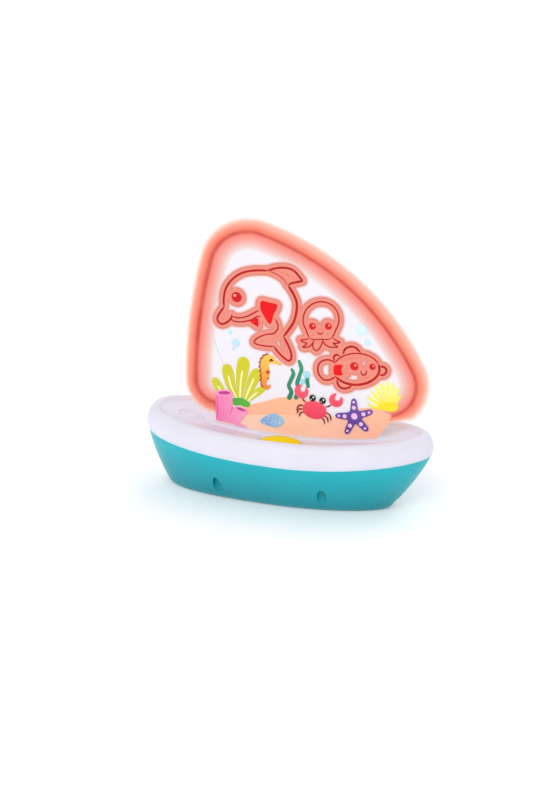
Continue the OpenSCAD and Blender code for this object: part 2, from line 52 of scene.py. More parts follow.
# ---- Driving sizes, from the frame and from the CAD design ----
deck_low, deck_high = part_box("deck_shell")
HALF_L = (deck_high.x - deck_low.x) / 2 / MM
HALF_B = (deck_high.y - deck_low.y) / 2 / MM
SEAM_Z = 42
CROWN_Z = 61
SHEER = 7.8          # the deck rises this much towards each end
WALL = 2.3
BEAM_STATION = 9     # X of the widest place
N_STERN = 2.4        # powers of the superellipse
N_BOW = 1.8
SEAM_INSET = 1.6
SEAL_T = 0.6
FLARE_L = 24.4       # the bottom is shorter at each end and narrower at each side by these
FLARE_B = 17.8
FLARE_POWER = 1.24
RAKE = 7.7           # the bottom lies this far aft of the seam
FLOOR_T = 2.6
DISH_DEPTH = 7.3
DISH_A = HALF_L - 12
DISH_B = HALF_B - 12
DISH_EDGE_Z = CROWN_Z - 3
COLLAR_H = 1.9
NECK = (-62, 75)
SAIL_T = 4
RIM_W = (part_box("sail_rim")[1].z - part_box("sail_panel")[1].z) / MM
BUTTON_Y = -20
BUTTON_R = (17.5, 11)
BUTTON_EDGE_Z = 51.9
BUTTON_DOME = 5
FLANGE_Z = (46.4, 48)
STEM_R = 3
STEM_LOW_Z = 39.4
AROUND = 224         # points in a ring of the hull or the deck


# ---- Plan shape of the boat ----
def power(value, exponent):
    return math.copysign(abs(value) ** exponent, value)


def plan_point(a, b, angle):
    """Superellipse of half-length a and half-width b, fuller at the stern than at the bow."""
    c, s = math.cos(angle), math.sin(angle)
    n = N_STERN if c < 0 else N_BOW
    station = BEAM_STATION * a / HALF_L
    half = a + station if c < 0 else a - station
    return station + half * power(c, 2 / n), b * power(s, 2 / n)


def sheer_at(x):
    return SHEER * (x / HALF_L) ** 2


def ring(a, b, z, share=1.0, shift=0.0):
    points = []
    for i in range(AROUND):
        x, y = plan_point(a, b, 2 * math.pi * i / AROUND)
        points.append((x + shift, y, z + share * sheer_at(x)))
    return points


def inset_ring(inset, z):
    return ring(HALF_L - inset, HALF_B - inset, z)


def hull_ring(drop, extra):
    """Ring of the outer hull at drop 0, the seam, to 1, the bottom, set in by extra."""
    flare = drop ** FLARE_POWER
    return ring(HALF_L - SEAM_INSET - FLARE_L * flare - extra,
                HALF_B - SEAM_INSET - FLARE_B * flare - extra,
                (SEAM_Z - SEAL_T) * (1 - drop), 1 - drop, -RAKE * drop)


def dish_level(share):
    return DISH_EDGE_Z - DISH_DEPTH * (1 - share * share)


def dish_z(x, y):
    n = N_STERN if x < 0 else N_BOW
    share = ((abs(x) / DISH_A) ** n + (abs(y) / DISH_B) ** n) ** (1 / n)
    return dish_level(min(1, share)) + sheer_at(x)


def dish_ring(share, drop=0.0):
    return ring(DISH_A * share, DISH_B * share, dish_level(share) - drop)


def collar_z(x):
    return dish_z(x, 0) + COLLAR_H


# ---- Curves ----
def smooth(points, steps=6, closed=False):
    """Catmull-Rom curve through points of any size."""
    n = len(points)
    out = []
    for i in range(n if closed else n - 1):
        if closed:
            a, b, c, d = (points[(i + k) % n] for k in (-1, 0, 1, 2))
        else:
            a, b, c, d = (points[min(n - 1, max(0, i + k))] for k in (-1, 0, 1, 2))
        for k in range(steps):
            t = k / steps
            out.append(tuple(
                0.5 * (2 * q + (r - p) * t + (2 * p - 5 * q + 4 * r - s) * t * t
                       + (3 * q - p - 3 * r + s) * t ** 3)
                for p, q, r, s in zip(a, b, c, d)))
    if not closed:
        out.append(tuple(points[-1]))
    return out


def arc(cx, cz, rx, start, end, rz=None, n=24):
    """Arc of an ellipse from angle start to end, in degrees."""
    rz = rx if rz is None else rz
    angles = [math.radians(start + (end - start) * i / n) for i in range(n + 1)]
    return [(cx + rx * math.cos(t), cz + rz * math.sin(t)) for t in angles]


def loop(cx, cz, rx, rz=None, turn=0, n=36):
    """Closed ellipse turned by an angle in degrees."""
    rz = rx if rz is None else rz
    c, s = math.cos(math.radians(turn)), math.sin(math.radians(turn))
    points = []
    for i in range(n):
        u, v = rx * math.cos(2 * math.pi * i / n), rz * math.sin(2 * math.pi * i / n)
        points.append((cx + u * c - v * s, cz + u * s + v * c))
    return points


# ---- Sail outline in the XZ plane: three round corners joined by bowed sides ----
CORNERS = [(-30.5, 185, 34), (78.5, 105.5, 27), (-60, 91, 18)]
BOWS = [200, 2000, 400]


def bow_centre(p, q, r):
    dx, dz = q[0] - p[0], q[1] - p[1]
    length = math.hypot(dx, dz)
    rp, rq = r - p[2], r - q[2]
    along = (rp * rp - rq * rq + length * length) / (2 * length)
    off = math.sqrt(rp * rp - along * along)
    ux, uz = dx / length, dz / length
    return p[0] + ux * along + uz * off, p[1] + uz * along - ux * off


def clockwise_arc(centre, r, start, end, n):
    turn = (start - end) % (2 * math.pi)
    angles = [start - turn * i / n for i in range(n + 1)]
    return [(centre[0] + r * math.cos(t), centre[1] + r * math.sin(t)) for t in angles]


def sail_outline(d, n, first):
    """The outline moved outward by d, clockwise, from the corner numbered first."""
    mids = [bow_centre(CORNERS[i], CORNERS[(i + 1) % 3], BOWS[i]) for i in range(3)]
    points = []
    for k in range(3):
        i = (first + k) % 3
        c, before, after, following = CORNERS[i], mids[i - 1], mids[i], CORNERS[(i + 1) % 3]
        turn_in = math.atan2(c[1] - before[1], c[0] - before[0])
        turn_out = math.atan2(c[1] - after[1], c[0] - after[0])
        side_end = math.atan2(following[1] - after[1], following[0] - after[0])
        points += clockwise_arc(c, c[2] + d, turn_in, turn_out, n)
        points += clockwise_arc(after, BOWS[i] + d, turn_out, side_end, n)[1:-1]
    return points


# ---- Meshes ----
def new_object(name, points, faces):
    mesh = bpy.data.meshes.new(name)
    mesh.from_pydata([(p[0] * MM, p[1] * MM, p[2] * MM) for p in points], [], faces)
    mesh.validate()
    obj = bpy.data.objects.new(name, mesh)
    bpy.context.scene.collection.objects.link(obj)
    return obj


def ring_faces(m, n, closed=False):
    """Faces between m neighbouring rings of n points, and from the last ring to the first if closed."""
    pairs = [(i * n, (i + 1) % m * n) for i in range(m if closed else m - 1)]
    return [(a + j, a + (j + 1) % n, b + (j + 1) % n, b + j) for a, b in pairs for j in range(n)]


def lofted(name, rings, closed=False):
    """Solid through a list of rings: capped with a fan at each end, or joined end to end."""
    n, m = len(rings[0]), len(rings)
    points = [p for r in rings for p in r]
    faces = ring_faces(m, n, closed)
    if not closed:
        for r, flip in ((0, True), (m - 1, False)):
            centre = [sum(p[axis] for p in rings[r]) / n for axis in range(3)]
            points.append(tuple(centre))
            hub = len(points) - 1
            for j in range(n):
                k = (j + 1) % n
                edge = (r * n + k, r * n + j) if flip else (r * n + j, r * n + k)
                faces.append((hub, *edge))
    return new_object(name, points, faces)


def facing_out(obj):
    bm = bmesh.new()
    bm.from_mesh(obj.data)
    bmesh.ops.recalc_face_normals(bm, faces=bm.faces)
    bm.to_mesh(obj.data)
    bm.free()
    return obj


def column(name, outline, z0, z1):
    """Upright prism over an outline of (x, y) points."""
    return lofted(name, [[(x, y, z) for x, y in outline] for z in (z0, z1)])


def post(x, y, r, z0, z1):
    return column("post", loop(x, y, r, n=40), z0, z1)


def posts(places, r, z0, z1):
    return [post(x, y, r, z0, z1) for x, y in places]


def button_oval(grow):
    return loop(0, BUTTON_Y, BUTTON_R[0] + grow, BUTTON_R[1] + grow, n=96)


def oval_column(grow, z0, z1):
    """Upright prism around the button, larger than its cap by grow."""
    return column("oval", button_oval(grow), z0, z1)


def slab(x, half_x, half_y, r, z0, z1):
    outline = []
    for sx, sy, start in ((1, 1, 0), (-1, 1, 90), (-1, -1, 180), (1, -1, 270)):
        outline += arc(x + sx * (half_x - r), sy * (half_y - r), r, start, start + 90, n=10)
    return column("slab", outline, z0, z1)


def combine(obj, others, operation):
    """Boolean with each of the other solids, which are used up."""
    for other in others:
        step = obj.modifiers.new("step", "BOOLEAN")
        step.operation = operation
        step.solver = "MANIFOLD"
        step.object = other
        apply_modifiers(obj)
        bpy.data.objects.remove(other)
    return obj


def apply_modifiers(obj):
    shape = obj.evaluated_get(bpy.context.evaluated_depsgraph_get())
    mesh = bpy.data.meshes.new_from_object(shape)
    obj.modifiers.clear()
    obj.data = mesh


def shade(obj, angle=32):
    """Smooth shading, broken where faces meet at more than the angle."""
    for face in obj.data.polygons:
        face.use_smooth = True
    obj.data.set_sharp_from_angle(angle=math.radians(angle))
    return obj


def keep_normals(obj):
    step = obj.modifiers.new("normals", "WEIGHTED_NORMAL")
    step.keep_sharp = True
    return obj


def finish_piece(obj, body, material, replaces=()):
    obj.data.materials.clear()
    obj.data.materials.append(material)
    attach(obj, body)
    if replaces:
        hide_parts(*replaces)
    return obj


# ---- Materials ----
def linear(rgb):
    """Screen colour 0-255 to the linear colour a shader takes."""
    return tuple(
        (v / 12.92 if v <= 0.04045 else ((v + 0.055) / 1.055) ** 2.4)
        for v in (c / 255 for c in rgb)) + (1.0,)


class Nodes:
    """Short names for building a node tree."""

    def __init__(self, name):
        self.material = bpy.data.materials.new(name)
        self.material.use_nodes = True
        self.tree = self.material.node_tree
        self.shader = self.tree.nodes["Principled BSDF"]
        self.place = self.add("ShaderNodeTexCoord").outputs["Object"]

    def add(self, kind, **settings):
        node = self.tree.nodes.new(kind)
        for key, value in settings.items():
            setattr(node, key, value)
        return node

    def link(self, output, node, socket):
        self.tree.links.new(output, node.inputs[socket])

    def noise(self, scale, detail, roughness=0.5):
        node = self.add("ShaderNodeTexNoise")
        node.inputs["Scale"].default_value = scale
        node.inputs["Detail"].default_value = detail
        node.inputs["Roughness"].default_value = roughness
        self.link(self.place, node, "Vector")
        return node.outputs["Fac"]

    def ramp(self, factor, stops):
        """Colour ramp from (position, colour) stops."""
        node = self.add("ShaderNodeValToRGB")
        elements = node.color_ramp.elements
        while len(elements) < len(stops):
            elements.new(0.5)
        for element, (position, colour) in zip(elements, stops):
            element.position = position
            element.color = colour
        self.link(factor, node, "Fac")
        return node.outputs["Color"]

    def scaled(self, value, low, high, to_low=0.0, to_high=1.0):
        node = self.add("ShaderNodeMapRange")
        for socket, number in (("From Min", low), ("From Max", high),
                               ("To Min", to_low), ("To Max", to_high)):
            node.inputs[socket].default_value = number
        self.link(value, node, "Value")
        return node.outputs["Result"]

    def mix(self, factor, a, b, blend="MIX"):
        """Mixed colour. The mix node is addressed by number, because its sockets share names."""
        node = self.add("ShaderNodeMix", data_type="RGBA", blend_type=blend)
        for value, socket in ((factor, 0), (a, 6), (b, 7)):
            if isinstance(value, (int, float, tuple)):
                node.inputs[socket].default_value = value
            else:
                self.tree.links.new(value, node.inputs[socket])
        return node.outputs[2]

    def attribute(self, name):
        node = self.add("ShaderNodeAttribute", attribute_name=name)
        return node.outputs["Fac"]

    def axis(self, name):
        node = self.add("ShaderNodeSeparateXYZ")
        self.link(self.place, node, "Vector")
        return node.outputs[name]

    def bump(self, height, strength, distance=0.0002):
        node = self.add("ShaderNodeBump")
        node.inputs["Strength"].default_value = strength
        node.inputs["Distance"].default_value = distance
        self.link(height, node, "Height")
        self.link(node.outputs["Normal"], self.shader, "Normal")

    def roughness(self, low, high, scale=70):
        self.link(self.scaled(self.noise(scale, 3), 0.35, 0.65, low, high), self.shader, "Roughness")

    def colour(self, output):
        self.link(output, self.shader, "Base Color")

    def set(self, **sockets):
        for key, value in sockets.items():
            self.shader.inputs[key.replace("_", " ")].default_value = value


def mottled(nodes, rgb, spread, scale=30):
    """A colour that wanders slightly lighter and darker over the surface."""
    dark = linear([max(0, c * (1 - spread)) for c in rgb])
    light = linear([min(255, c * (1 + spread)) for c in rgb])
    return nodes.ramp(nodes.noise(scale, 3), [(0.32, dark), (0.68, light)])


def moulded(name, rgb, rough, spread, coat=0.0, grain=0.12, shine=0.4):
    """Moulded plastic or rubber: fine surface grain, uneven gloss and a little colour drift."""
    nodes = Nodes(name)
    nodes.colour(mottled(nodes, rgb, spread))
    nodes.roughness(*rough)
    nodes.bump(nodes.noise(900, 4, 0.6), grain)
    nodes.set(Coat_Weight=coat, Coat_Roughness=0.12, Specular_IOR_Level=shine)
    return nodes.material


def hull_plastic(name):
    """Teal plastic, a little darker towards the bottom: painted shade, as the light falls from above."""
    nodes = Nodes(name)
    # Painted shade: the teal darkens from the seam down to the bottom.
    height = nodes.scaled(nodes.axis("Z"), 0.006, 0.044)
    colour = nodes.ramp(height, [(0.0, linear((2, 140, 152))), (1.0, linear((6, 178, 190)))])
    drift = nodes.scaled(nodes.noise(26, 3), 0.3, 0.7, 0, 0.12)
    nodes.colour(nodes.mix(drift, colour, linear((16, 186, 196))))
    nodes.roughness(0.24, 0.36)
    nodes.bump(nodes.noise(2600, 2), 0.03, 0.0001)
    nodes.set(Coat_Weight=0.12, Coat_Roughness=0.12, Specular_IOR_Level=0.3)
    return nodes.material


def metal(name, rgb, rough=(0.22, 0.4), stretch=(1, 1, 12), scale=260):
    """Plated or rolled steel with fine drawn lines."""
    nodes = Nodes(name)
    mapping = nodes.add("ShaderNodeMapping")
    mapping.inputs["Scale"].default_value = stretch
    nodes.link(nodes.place, mapping, "Vector")
    lines = nodes.add("ShaderNodeTexNoise")
    lines.inputs["Scale"].default_value = scale
    lines.inputs["Detail"].default_value = 4
    nodes.link(mapping.outputs["Vector"], lines, "Vector")
    nodes.link(nodes.scaled(lines.outputs["Fac"], 0.3, 0.7, *rough), nodes.shader, "Roughness")
    nodes.colour(mottled(nodes, rgb, 0.06, 80))
    nodes.bump(lines.outputs["Fac"], 0.15, 0.0001)
    nodes.set(Metallic=1.0)
    return nodes.material


def circuit_board(name):
    """Green solder mask with lighter copper tracks running under it."""
    nodes = Nodes(name)
    tracks = nodes.add("ShaderNodeTexBrick")
    tracks.inputs["Scale"].default_value = 160
    tracks.inputs["Mortar Size"].default_value = 0.02
    tracks.inputs["Color1"].default_value = linear((22, 92, 52))
    tracks.inputs["Color2"].default_value = linear((18, 80, 46))
    tracks.inputs["Mortar"].default_value = linear((70, 150, 80))
    nodes.link(nodes.place, tracks, "Vector")
    nodes.colour(tracks.outputs["Color"])
    nodes.roughness(0.25, 0.4)
    nodes.bump(tracks.outputs["Fac"], 0.2, 0.0001)
    nodes.set(Coat_Weight=0.4, Coat_Roughness=0.15)
    return nodes.material


def cell_wrap(name):
    """Printed shrink sleeve of a battery cell: a band of copper and a dark body."""
    nodes = Nodes(name)
    wave = nodes.scaled(nodes.axis("X"), -0.028, 0.016)
    nodes.colour(nodes.ramp(wave, [(0.0, linear((70, 74, 82))), (0.7, linear((58, 62, 70))),
                                   (0.72, linear((196, 130, 70))), (1.0, linear((205, 140, 80)))]))
    nodes.roughness(0.25, 0.4)
    nodes.bump(nodes.noise(500, 3), 0.08)
    nodes.set(Metallic=0.35)
    return nodes.material


def wire_skin(name):
    """Insulation of the leads: red and black by where each one lies."""
    nodes = Nodes(name)
    colours = [(0.45, linear((190, 30, 30))), (0.55, linear((40, 40, 42)))]
    nodes.colour(nodes.ramp(nodes.noise(140, 1), colours))
    nodes.roughness(0.4, 0.55)
    nodes.bump(nodes.noise(900, 2), 0.1)
    return nodes.material


INK_GLOW = 0.08   # prints let a little of the panel's light through


def ink(name, rgb, second=None, axis="Z", span=(0, 1), rough=(0.35, 0.5), spots=None, coat=0.1,
        glow=INK_GLOW):
    """Printed ink: a colour that can run to a second one along an axis, with a fine print grain."""
    nodes = Nodes(name)
    if second is None:
        colour = mottled(nodes, rgb, 0.04, 120)
    else:
        place = nodes.scaled(nodes.axis(axis), span[0] * MM, span[1] * MM)
        colour = nodes.ramp(place, [(0.0, linear(rgb)), (1.0, linear(second))])
        colour = nodes.mix(nodes.scaled(nodes.noise(240, 3), 0.4, 0.75, 0, 0.12), colour,
                           linear([min(255, c + 30) for c in second]))
    if spots:
        dots = nodes.add("ShaderNodeTexVoronoi")
        dots.inputs["Scale"].default_value = spots[0]
        nodes.link(nodes.place, dots, "Vector")
        inside = nodes.scaled(dots.outputs["Distance"], spots[1], spots[1] * 0.8)
        colour = nodes.mix(inside, colour, linear(spots[2]))
    lit(nodes, colour, 1 - INK_GLOW, glow)
    nodes.roughness(*rough)
    nodes.bump(nodes.noise(1400, 3), 0.06)
    nodes.set(Coat_Weight=coat, Coat_Roughness=0.2, Specular_IOR_Level=0.3)
    return nodes.material


def lit(nodes, colour, base_share, glow):
    """Splits one colour between the base colour and what the surface gives out; for a glow, the base-colour
    share is painted light.
    """
    nodes.colour(nodes.mix(1.0, colour, (base_share, base_share, base_share, 1), "MULTIPLY"))
    nodes.link(colour, nodes.shader, "Emission Color")
    nodes.set(Emission_Strength=glow)


LIT_BASE = 0.58   # share of the glow's colour that goes into the base colour as painted light
LIT_GLOW = 0.4    # share that it gives out
# Colour of the lit edge by distance from the sail's outline in mm: inward, then outward. This glow is painted
# light, partly in the base colour.
INWARD = [(0, (222, 88, 72)), (1.2, (234, 106, 88)), (3.2, (247, 131, 114)), (5.8, (246, 151, 135)),
          (9, (241, 180, 170)), (12, (241, 208, 202)), (15.2, (242, 238, 244))]
OUTWARD = [(0, (210, 78, 64)), (0.8, (225, 82, 60)), (3, (248, 124, 100)), (5, (251, 146, 120)),
           (7, (252, 176, 154)), (9, (253, 214, 197)), (11, (254, 242, 232))]
# Colour of the glow around the engraved lines by distance from them in mm, painted partly into the base
# colour
HALO = [(0, (238, 116, 98)), (1.3, (241, 130, 106)), (2.4, (237, 136, 112)), (3.8, (219, 114, 93)),
        (4.8, (237, 168, 153)), (6.4, (242, 238, 245))]


def by_distance(nodes, name, stops):
    span = stops[-1][0]
    share = nodes.scaled(nodes.attribute(name), 0, span)
    return nodes.ramp(share, [(mm / span, linear(rgb)) for mm, rgb in stops])


def light_guide(name):
    """Milky clear panel, lit from its edge and from the engraved lines."""
    nodes = Nodes(name)
    edge = by_distance(nodes, "rim_mm", INWARD)
    around_lines = by_distance(nodes, "line_mm", HALO)
    near = nodes.scaled(nodes.attribute("line_mm"), 3.6, 6.4, 1, 0)
    colour = nodes.mix(near, edge, around_lines)
    cloud = nodes.scaled(nodes.noise(45, 4), 0.3, 0.7, 0, 0.05)
    colour = nodes.mix(cloud, colour, linear((228, 230, 246)))
    lit(nodes, colour, LIT_BASE, LIT_GLOW)
    nodes.roughness(0.12, 0.22, 40)
    nodes.bump(nodes.noise(60, 2), 0.05, 0.0004)
    nodes.set(Coat_Weight=0.5, Coat_Roughness=0.06)
    return nodes.material


def glow_rubber(name):
    """Soft translucent rim carrying the sail's edge glow: saturated beside the panel, fading to clear white
    at its outer edge; the glow is painted partly into the base colour.
    """
    nodes = Nodes(name)
    colour = by_distance(nodes, "out_mm", OUTWARD)
    cloud = nodes.scaled(nodes.noise(90, 3), 0.35, 0.7, 0, 0.1)
    colour = nodes.mix(cloud, colour, linear((255, 200, 180)))
    lit(nodes, colour, LIT_BASE, LIT_GLOW)
    nodes.roughness(0.4, 0.55)
    nodes.bump(nodes.noise(700, 3), 0.1)
    nodes.link(nodes.scaled(nodes.attribute("out_mm"), 6.5, RIM_W + 0.4, 1, 0.12), nodes.shader, "Alpha")
    return nodes.material


def glowing_line(name, rgb, deep):
    """Engraved line, slightly lit from inside the sheet; its red is the LEDs' glow, painted partly into the
    base colour and partly given out.
    """
    nodes = Nodes(name)
    colour = nodes.ramp(nodes.noise(160, 3), [(0.35, linear(deep)), (0.65, linear(rgb))])
    lit(nodes, colour, 0.75, 0.3)
    nodes.roughness(0.35, 0.5)
    nodes.bump(nodes.noise(1500, 2), 0.08)
    nodes.set(Specular_IOR_Level=0.2)
    return nodes.material


LOOK = {
    "teal": hull_plastic("teal_plastic"),
    "deck": moulded("white_deck_plastic", (228, 225, 237), (0.32, 0.46), 0.01, 0.06, 0.02, shine=0.3),
    "silicone": moulded("white_silicone", (214, 240, 246), (0.5, 0.65), 0.02, grain=0.12),
    "rubber": moulded("black_rubber", (42, 42, 46), (0.6, 0.8), 0.08, grain=0.25),
    "black": moulded("black_plastic", (38, 38, 42), (0.35, 0.5), 0.06),
    "white": moulded("white_frame_plastic", (232, 232, 236), (0.38, 0.5), 0.02),
    "plunger": moulded("plunger_plastic", (240, 240, 238), (0.3, 0.45), 0.02),
    "button": moulded("yellow_button", (255, 221, 0), (0.35, 0.5), 0.03, coat=0.05, grain=0.05, shine=0.12),
    "screw": metal("zinc_screw", (196, 198, 204)),
    "spring": metal("spring_steel", (190, 190, 184)),
    "ballast": metal("ballast_steel", (120, 122, 126), (0.45, 0.65), (1, 1, 3), 120),
    "board": circuit_board("circuit_board"),
    "lens": moulded("led_lens", (255, 150, 130), (0.1, 0.2), 0.05, coat=0.6),
    "cell": cell_wrap("cell_wrap"),
    "wire": wire_skin("wire_skin"),
    "panel": light_guide("light_guide_panel"),
    "rim": glow_rubber("glow_rubber"),
    "line": glowing_line("engraved_line", (192, 32, 32), (166, 18, 24)),
    "red": glowing_line("engraved_fill", (238, 10, 18), (224, 4, 14)),
    "eye": glowing_line("engraved_eye", (216, 26, 30), (196, 20, 24)),
}


# ---- Hull and deck ----
SCREW_PLACES = [(-50, -31.5), (-50, 31.5), (38, -31.5), (38, 31.5), (-100, 0), (91, 0)]
HEAD_SEAT_Z = 24
PAD_TOP_Z = 27
BAY_X = -6
PAD_Z = 4.4
DOOR_SCREWS = [(BAY_X - 34, 0), (BAY_X + 34, 0)]
BOX_SCREWS = [(BAY_X + x, y) for x in (-35.5, 35.5) for y in (-12, 12)]
BOARD_POSTS = [(x, y) for x in (-25.5, 25.5) for y in (-31.5, -10.8)]
RETAINER_POSTS = [(-24.5, -21), (24.5, -21)]
EARS = [(x, y) for x in (-54, 66) for y in (-11, 11)]
BOARD_TOP_Z = 31.8
EAR_TOP_Z = 46.6
ROOT_GAP = 1.7
WELL_Z = dish_z(0, -6.5) + 0.2
WELL_FLOOR_T = 2.2
POST_ROOT_Z = 1
SCREW_POST_R = 5.6
HEAD_POCKET_R = 3.8
SHANK_HOLE_R = 1.8
DOOR_POST_R = 2.9
DOOR_POST_Z = 12
DOOR_HOLE_R = 1.3
BOX_POST_R = 3
BOX_POST_Z = 9
BOX_HOLE_R = 1.25
PAD_HALF = (41, 22.5)
DOOR_RECESS_HALF = (37.8, 19.8)
DOOR_RECESS_R = 5
DOOR_RECESS_Z = 2.4
BAY_HALF = (27, 17.6)
BAY_R = 2
SLOT_HALF = 2.25
SLOT_END_GAP = 0.6


def lower_hull():
    # Outer skin from the bottom up: drop below the seam, extra inset
    profile = smooth([(1, 2.6), (0.988, 1.5), (0.965, 0.7), (0.9, 0), (0.78, 0), (0.62, 0), (0.45, 0),
                      (0.28, 0), (0.12, 0), (0, 0)], 3)
    outer = [hull_ring(min(1, drop), max(0, extra)) for drop, extra in profile]
    inner = [hull_ring(drop, WALL) for drop in (0, 0.1, 0.2, 0.32, 0.45, 0.58)]
    inner += [hull_ring(0.7, WALL + 0.3), hull_ring(0.83, WALL + 0.7)]
    inner += [hull_ring(1 - FLOOR_T / (SEAM_Z - SEAL_T), WALL + 1.5)]
    shell = lofted("hull_skin", outer + inner)
    solid = lofted("hull_solid", outer)
    within = posts(SCREW_PLACES, SCREW_POST_R, POST_ROOT_Z, PAD_TOP_Z)
    within += posts(DOOR_SCREWS, DOOR_POST_R, POST_ROOT_Z, DOOR_POST_Z)
    within += posts(BOX_SCREWS, BOX_POST_R, POST_ROOT_Z, BOX_POST_Z)
    within += [slab(BAY_X, *PAD_HALF, 1, POST_ROOT_Z, PAD_Z)]
    supports = combine(within[0], within[1:], "UNION")
    supports = combine(supports, [solid], "INTERSECT")
    shell = combine(shell, [supports], "UNION")
    cuts = posts(SCREW_PLACES, HEAD_POCKET_R, -1, HEAD_SEAT_Z)
    cuts += posts(SCREW_PLACES, SHANK_HOLE_R, HEAD_SEAT_Z - 4, PAD_TOP_Z + 1)
    cuts += [slab(BAY_X, *DOOR_RECESS_HALF, DOOR_RECESS_R, -1, DOOR_RECESS_Z)]
    cuts += [slab(BAY_X, *BAY_HALF, BAY_R, -1, PAD_Z + 1)]
    cuts += posts(DOOR_SCREWS, DOOR_HOLE_R, 0, DOOR_POST_Z - 1.5)
    cuts += posts(BOX_SCREWS, BOX_HOLE_R, 3.6, BOX_POST_Z + 1)
    shell = combine(shell, cuts, "DIFFERENCE")
    keep_normals(shade(shell))
    return finish_piece(shell, "hull", LOOK["teal"], ["lower_hull"])


def stadium(half_w, start, end):
    """Outline with round ends along X."""
    return arc(end - half_w, 0, half_w, -90, 90) + arc(start + half_w, 0, half_w, 90, 270)


def dense(outline, step=3.0):
    """The same closed outline with long straight stretches divided."""
    out = []
    for (x0, y0), (x1, y1) in zip(outline, outline[1:] + outline[:1]):
        count = max(1, round(math.hypot(x1 - x0, y1 - y0) / step))
        out += [(x0 + (x1 - x0) * i / count, y0 + (y1 - y0) * i / count) for i in range(count)]
    return out


COLLAR_HALF = 5.6
COLLAR_REACH = 4      # the foot of the collar goes this far beyond the neck
COLLAR_CENTRE = 1.6   # its round ends are centred this far inside the neck's ends
COLLAR_TOP_INSET = 0.2   # beyond this inset the section keeps the level of the dish's middle line


def collar():
    """Raised lip around the sail slot, with a soft fillet onto the dish and a rounded top."""
    # Section of the lip: inset from the edge of its foot, height above the dish
    profile = [(3.4, -4.0), (3.4, 1.3), (3.15, 1.75), (2.6, 1.9), (0.9, 1.9), (0.35, 1.75), (0.0, 1.3),
               (-0.1, 0.9), (-0.5, 0.45), (-1.3, 0.12), (-1.6, -4.0)]
    rings = []
    base = dense(stadium(COLLAR_HALF, NECK[0] - COLLAR_REACH, NECK[1] + COLLAR_REACH))
    for inset, height in profile:
        points = []
        for x, y in base:
            centre_x = min(max(x, NECK[0] + COLLAR_CENTRE), NECK[1] - COLLAR_CENTRE)
            away = math.hypot(x - centre_x, y) or 1
            share = (away - inset) / away
            px, py = centre_x + (x - centre_x) * share, y * share
            level = dish_z(px, py) if inset < COLLAR_TOP_INSET else dish_z(px, 0)
            points.append((px, py, level + height))
        rings.append(points)
    return facing_out(lofted("collar", rings, closed=True))


def deck_shell():
    # Gunwale from the seam up and over: inset from the widest line, height
    edge = smooth([(SEAM_INSET, SEAM_Z), (0.5, SEAM_Z + 2.6), (0, SEAM_Z + 6), (0.5, CROWN_Z - 9),
                   (2, CROWN_Z - 5), (4.3, CROWN_Z - 1.8), (6.6, CROWN_Z - 0.3), (8.2, CROWN_Z),
                   (10, CROWN_Z - 0.8), (11.2, CROWN_Z - 1.9)], 4)
    dish = [0.995, 0.97, 0.94, 0.9, 0.85, 0.8, 0.74, 0.67, 0.6, 0.52, 0.44, 0.36, 0.27, 0.18, 0.09, 0.03]
    top = [inset_ring(inset, z) for inset, z in edge] + [dish_ring(share) for share in dish]
    under = [dish_ring(share, WALL) for share in (0.03, 0.18, 0.32, 0.45, 0.58, 0.72, 0.85, 0.96)]
    under += [inset_ring(inset, z) for inset, z in smooth(
        [(9.5, CROWN_Z - 2.8), (7.6, CROWN_Z - 2.8), (4.8, CROWN_Z - 6), (WALL + 0.4, SEAM_Z + 6),
         (SEAM_INSET + WALL, SEAM_Z)], 3)]
    shell = lofted("deck_skin", under + top)
    # Posts that hang from the deck: places, radius, lower end
    hanging = ((SCREW_PLACES, 3.5, PAD_TOP_Z + 0.2), (RETAINER_POSTS, 2.8, 43.7),
               (BOARD_POSTS, 2.8, BOARD_TOP_Z), (EARS, 3, EAR_TOP_Z))
    added = [post(x, y, r, low, dish_z(x, y) - ROOT_GAP) for places, r, low in hanging for x, y in places]
    added += [oval_column(3.4, WELL_Z - WELL_FLOOR_T, WELL_Z + 0.6), collar()]
    shell = combine(shell, added, "UNION")
    ends = (NECK[0] - SLOT_END_GAP, NECK[1] + SLOT_END_GAP)
    slot = column("slot", [(ends[0], -SLOT_HALF), (ends[1], -SLOT_HALF), (ends[1], SLOT_HALF),
                           (ends[0], SLOT_HALF)], 40, CROWN_Z + 5)
    # Rounded edge of the button well: growth beyond the cap, height above the well's floor
    well_edge = ((1.1, 0), (1.5, 0.4), (1.6, 1.2), (1.7, 1.9), (2.4, 2.8), (4.5, 4.6))
    well = lofted("well", [[(x, y, WELL_Z + up) for x, y in button_oval(grow)] for grow, up in well_edge])
    cuts = [slot, well, oval_column(0.35, 40, CROWN_Z), oval_column(2.6, 46, WELL_Z - WELL_FLOOR_T)]
    # Screw holes in the hanging posts: places, radius, lower end, upper end
    for places, r, low, high in ((SCREW_PLACES, 1.55, PAD_TOP_Z, 44), (BOARD_POSTS, 1.05, 30, 40),
                                 (RETAINER_POSTS, 1.05, 43, 50), (EARS, 1.3, 46, 52.5)):
        cuts += posts(places, r, low, high)
    shell = combine(shell, cuts, "DIFFERENCE")
    keep_normals(shade(shell))
    return finish_piece(shell, "hull", LOOK["deck"], ["deck_shell"])


MARK_X = -84
MARK_OVALS = [(10, 7.5), (6.2, 4)]
# Section of the mark's ridge: inset from the oval, height above the dish
MARK_SECTION = [(-0.6, -0.3), (-0.45, 0.5), (0, 0.8), (0.45, 0.5), (0.6, -0.3)]


def deck_mark():
    """Plain moulded ovals on the stern of the dish."""
    ridges = []
    for rx, ry in MARK_OVALS:
        ovals = [(loop(MARK_X, 0, rx - inset, ry - inset, n=64), height) for inset, height in MARK_SECTION]
        rings = [[(x, y, dish_z(x, y) + height) for x, y in oval] for oval, height in ovals]
        ridges.append(facing_out(lofted("deck_mark", rings, closed=True)))
    mark = combine(ridges[0], ridges[1:], "UNION")
    return finish_piece(shade(mark, 60), "hull", LOOK["deck"])


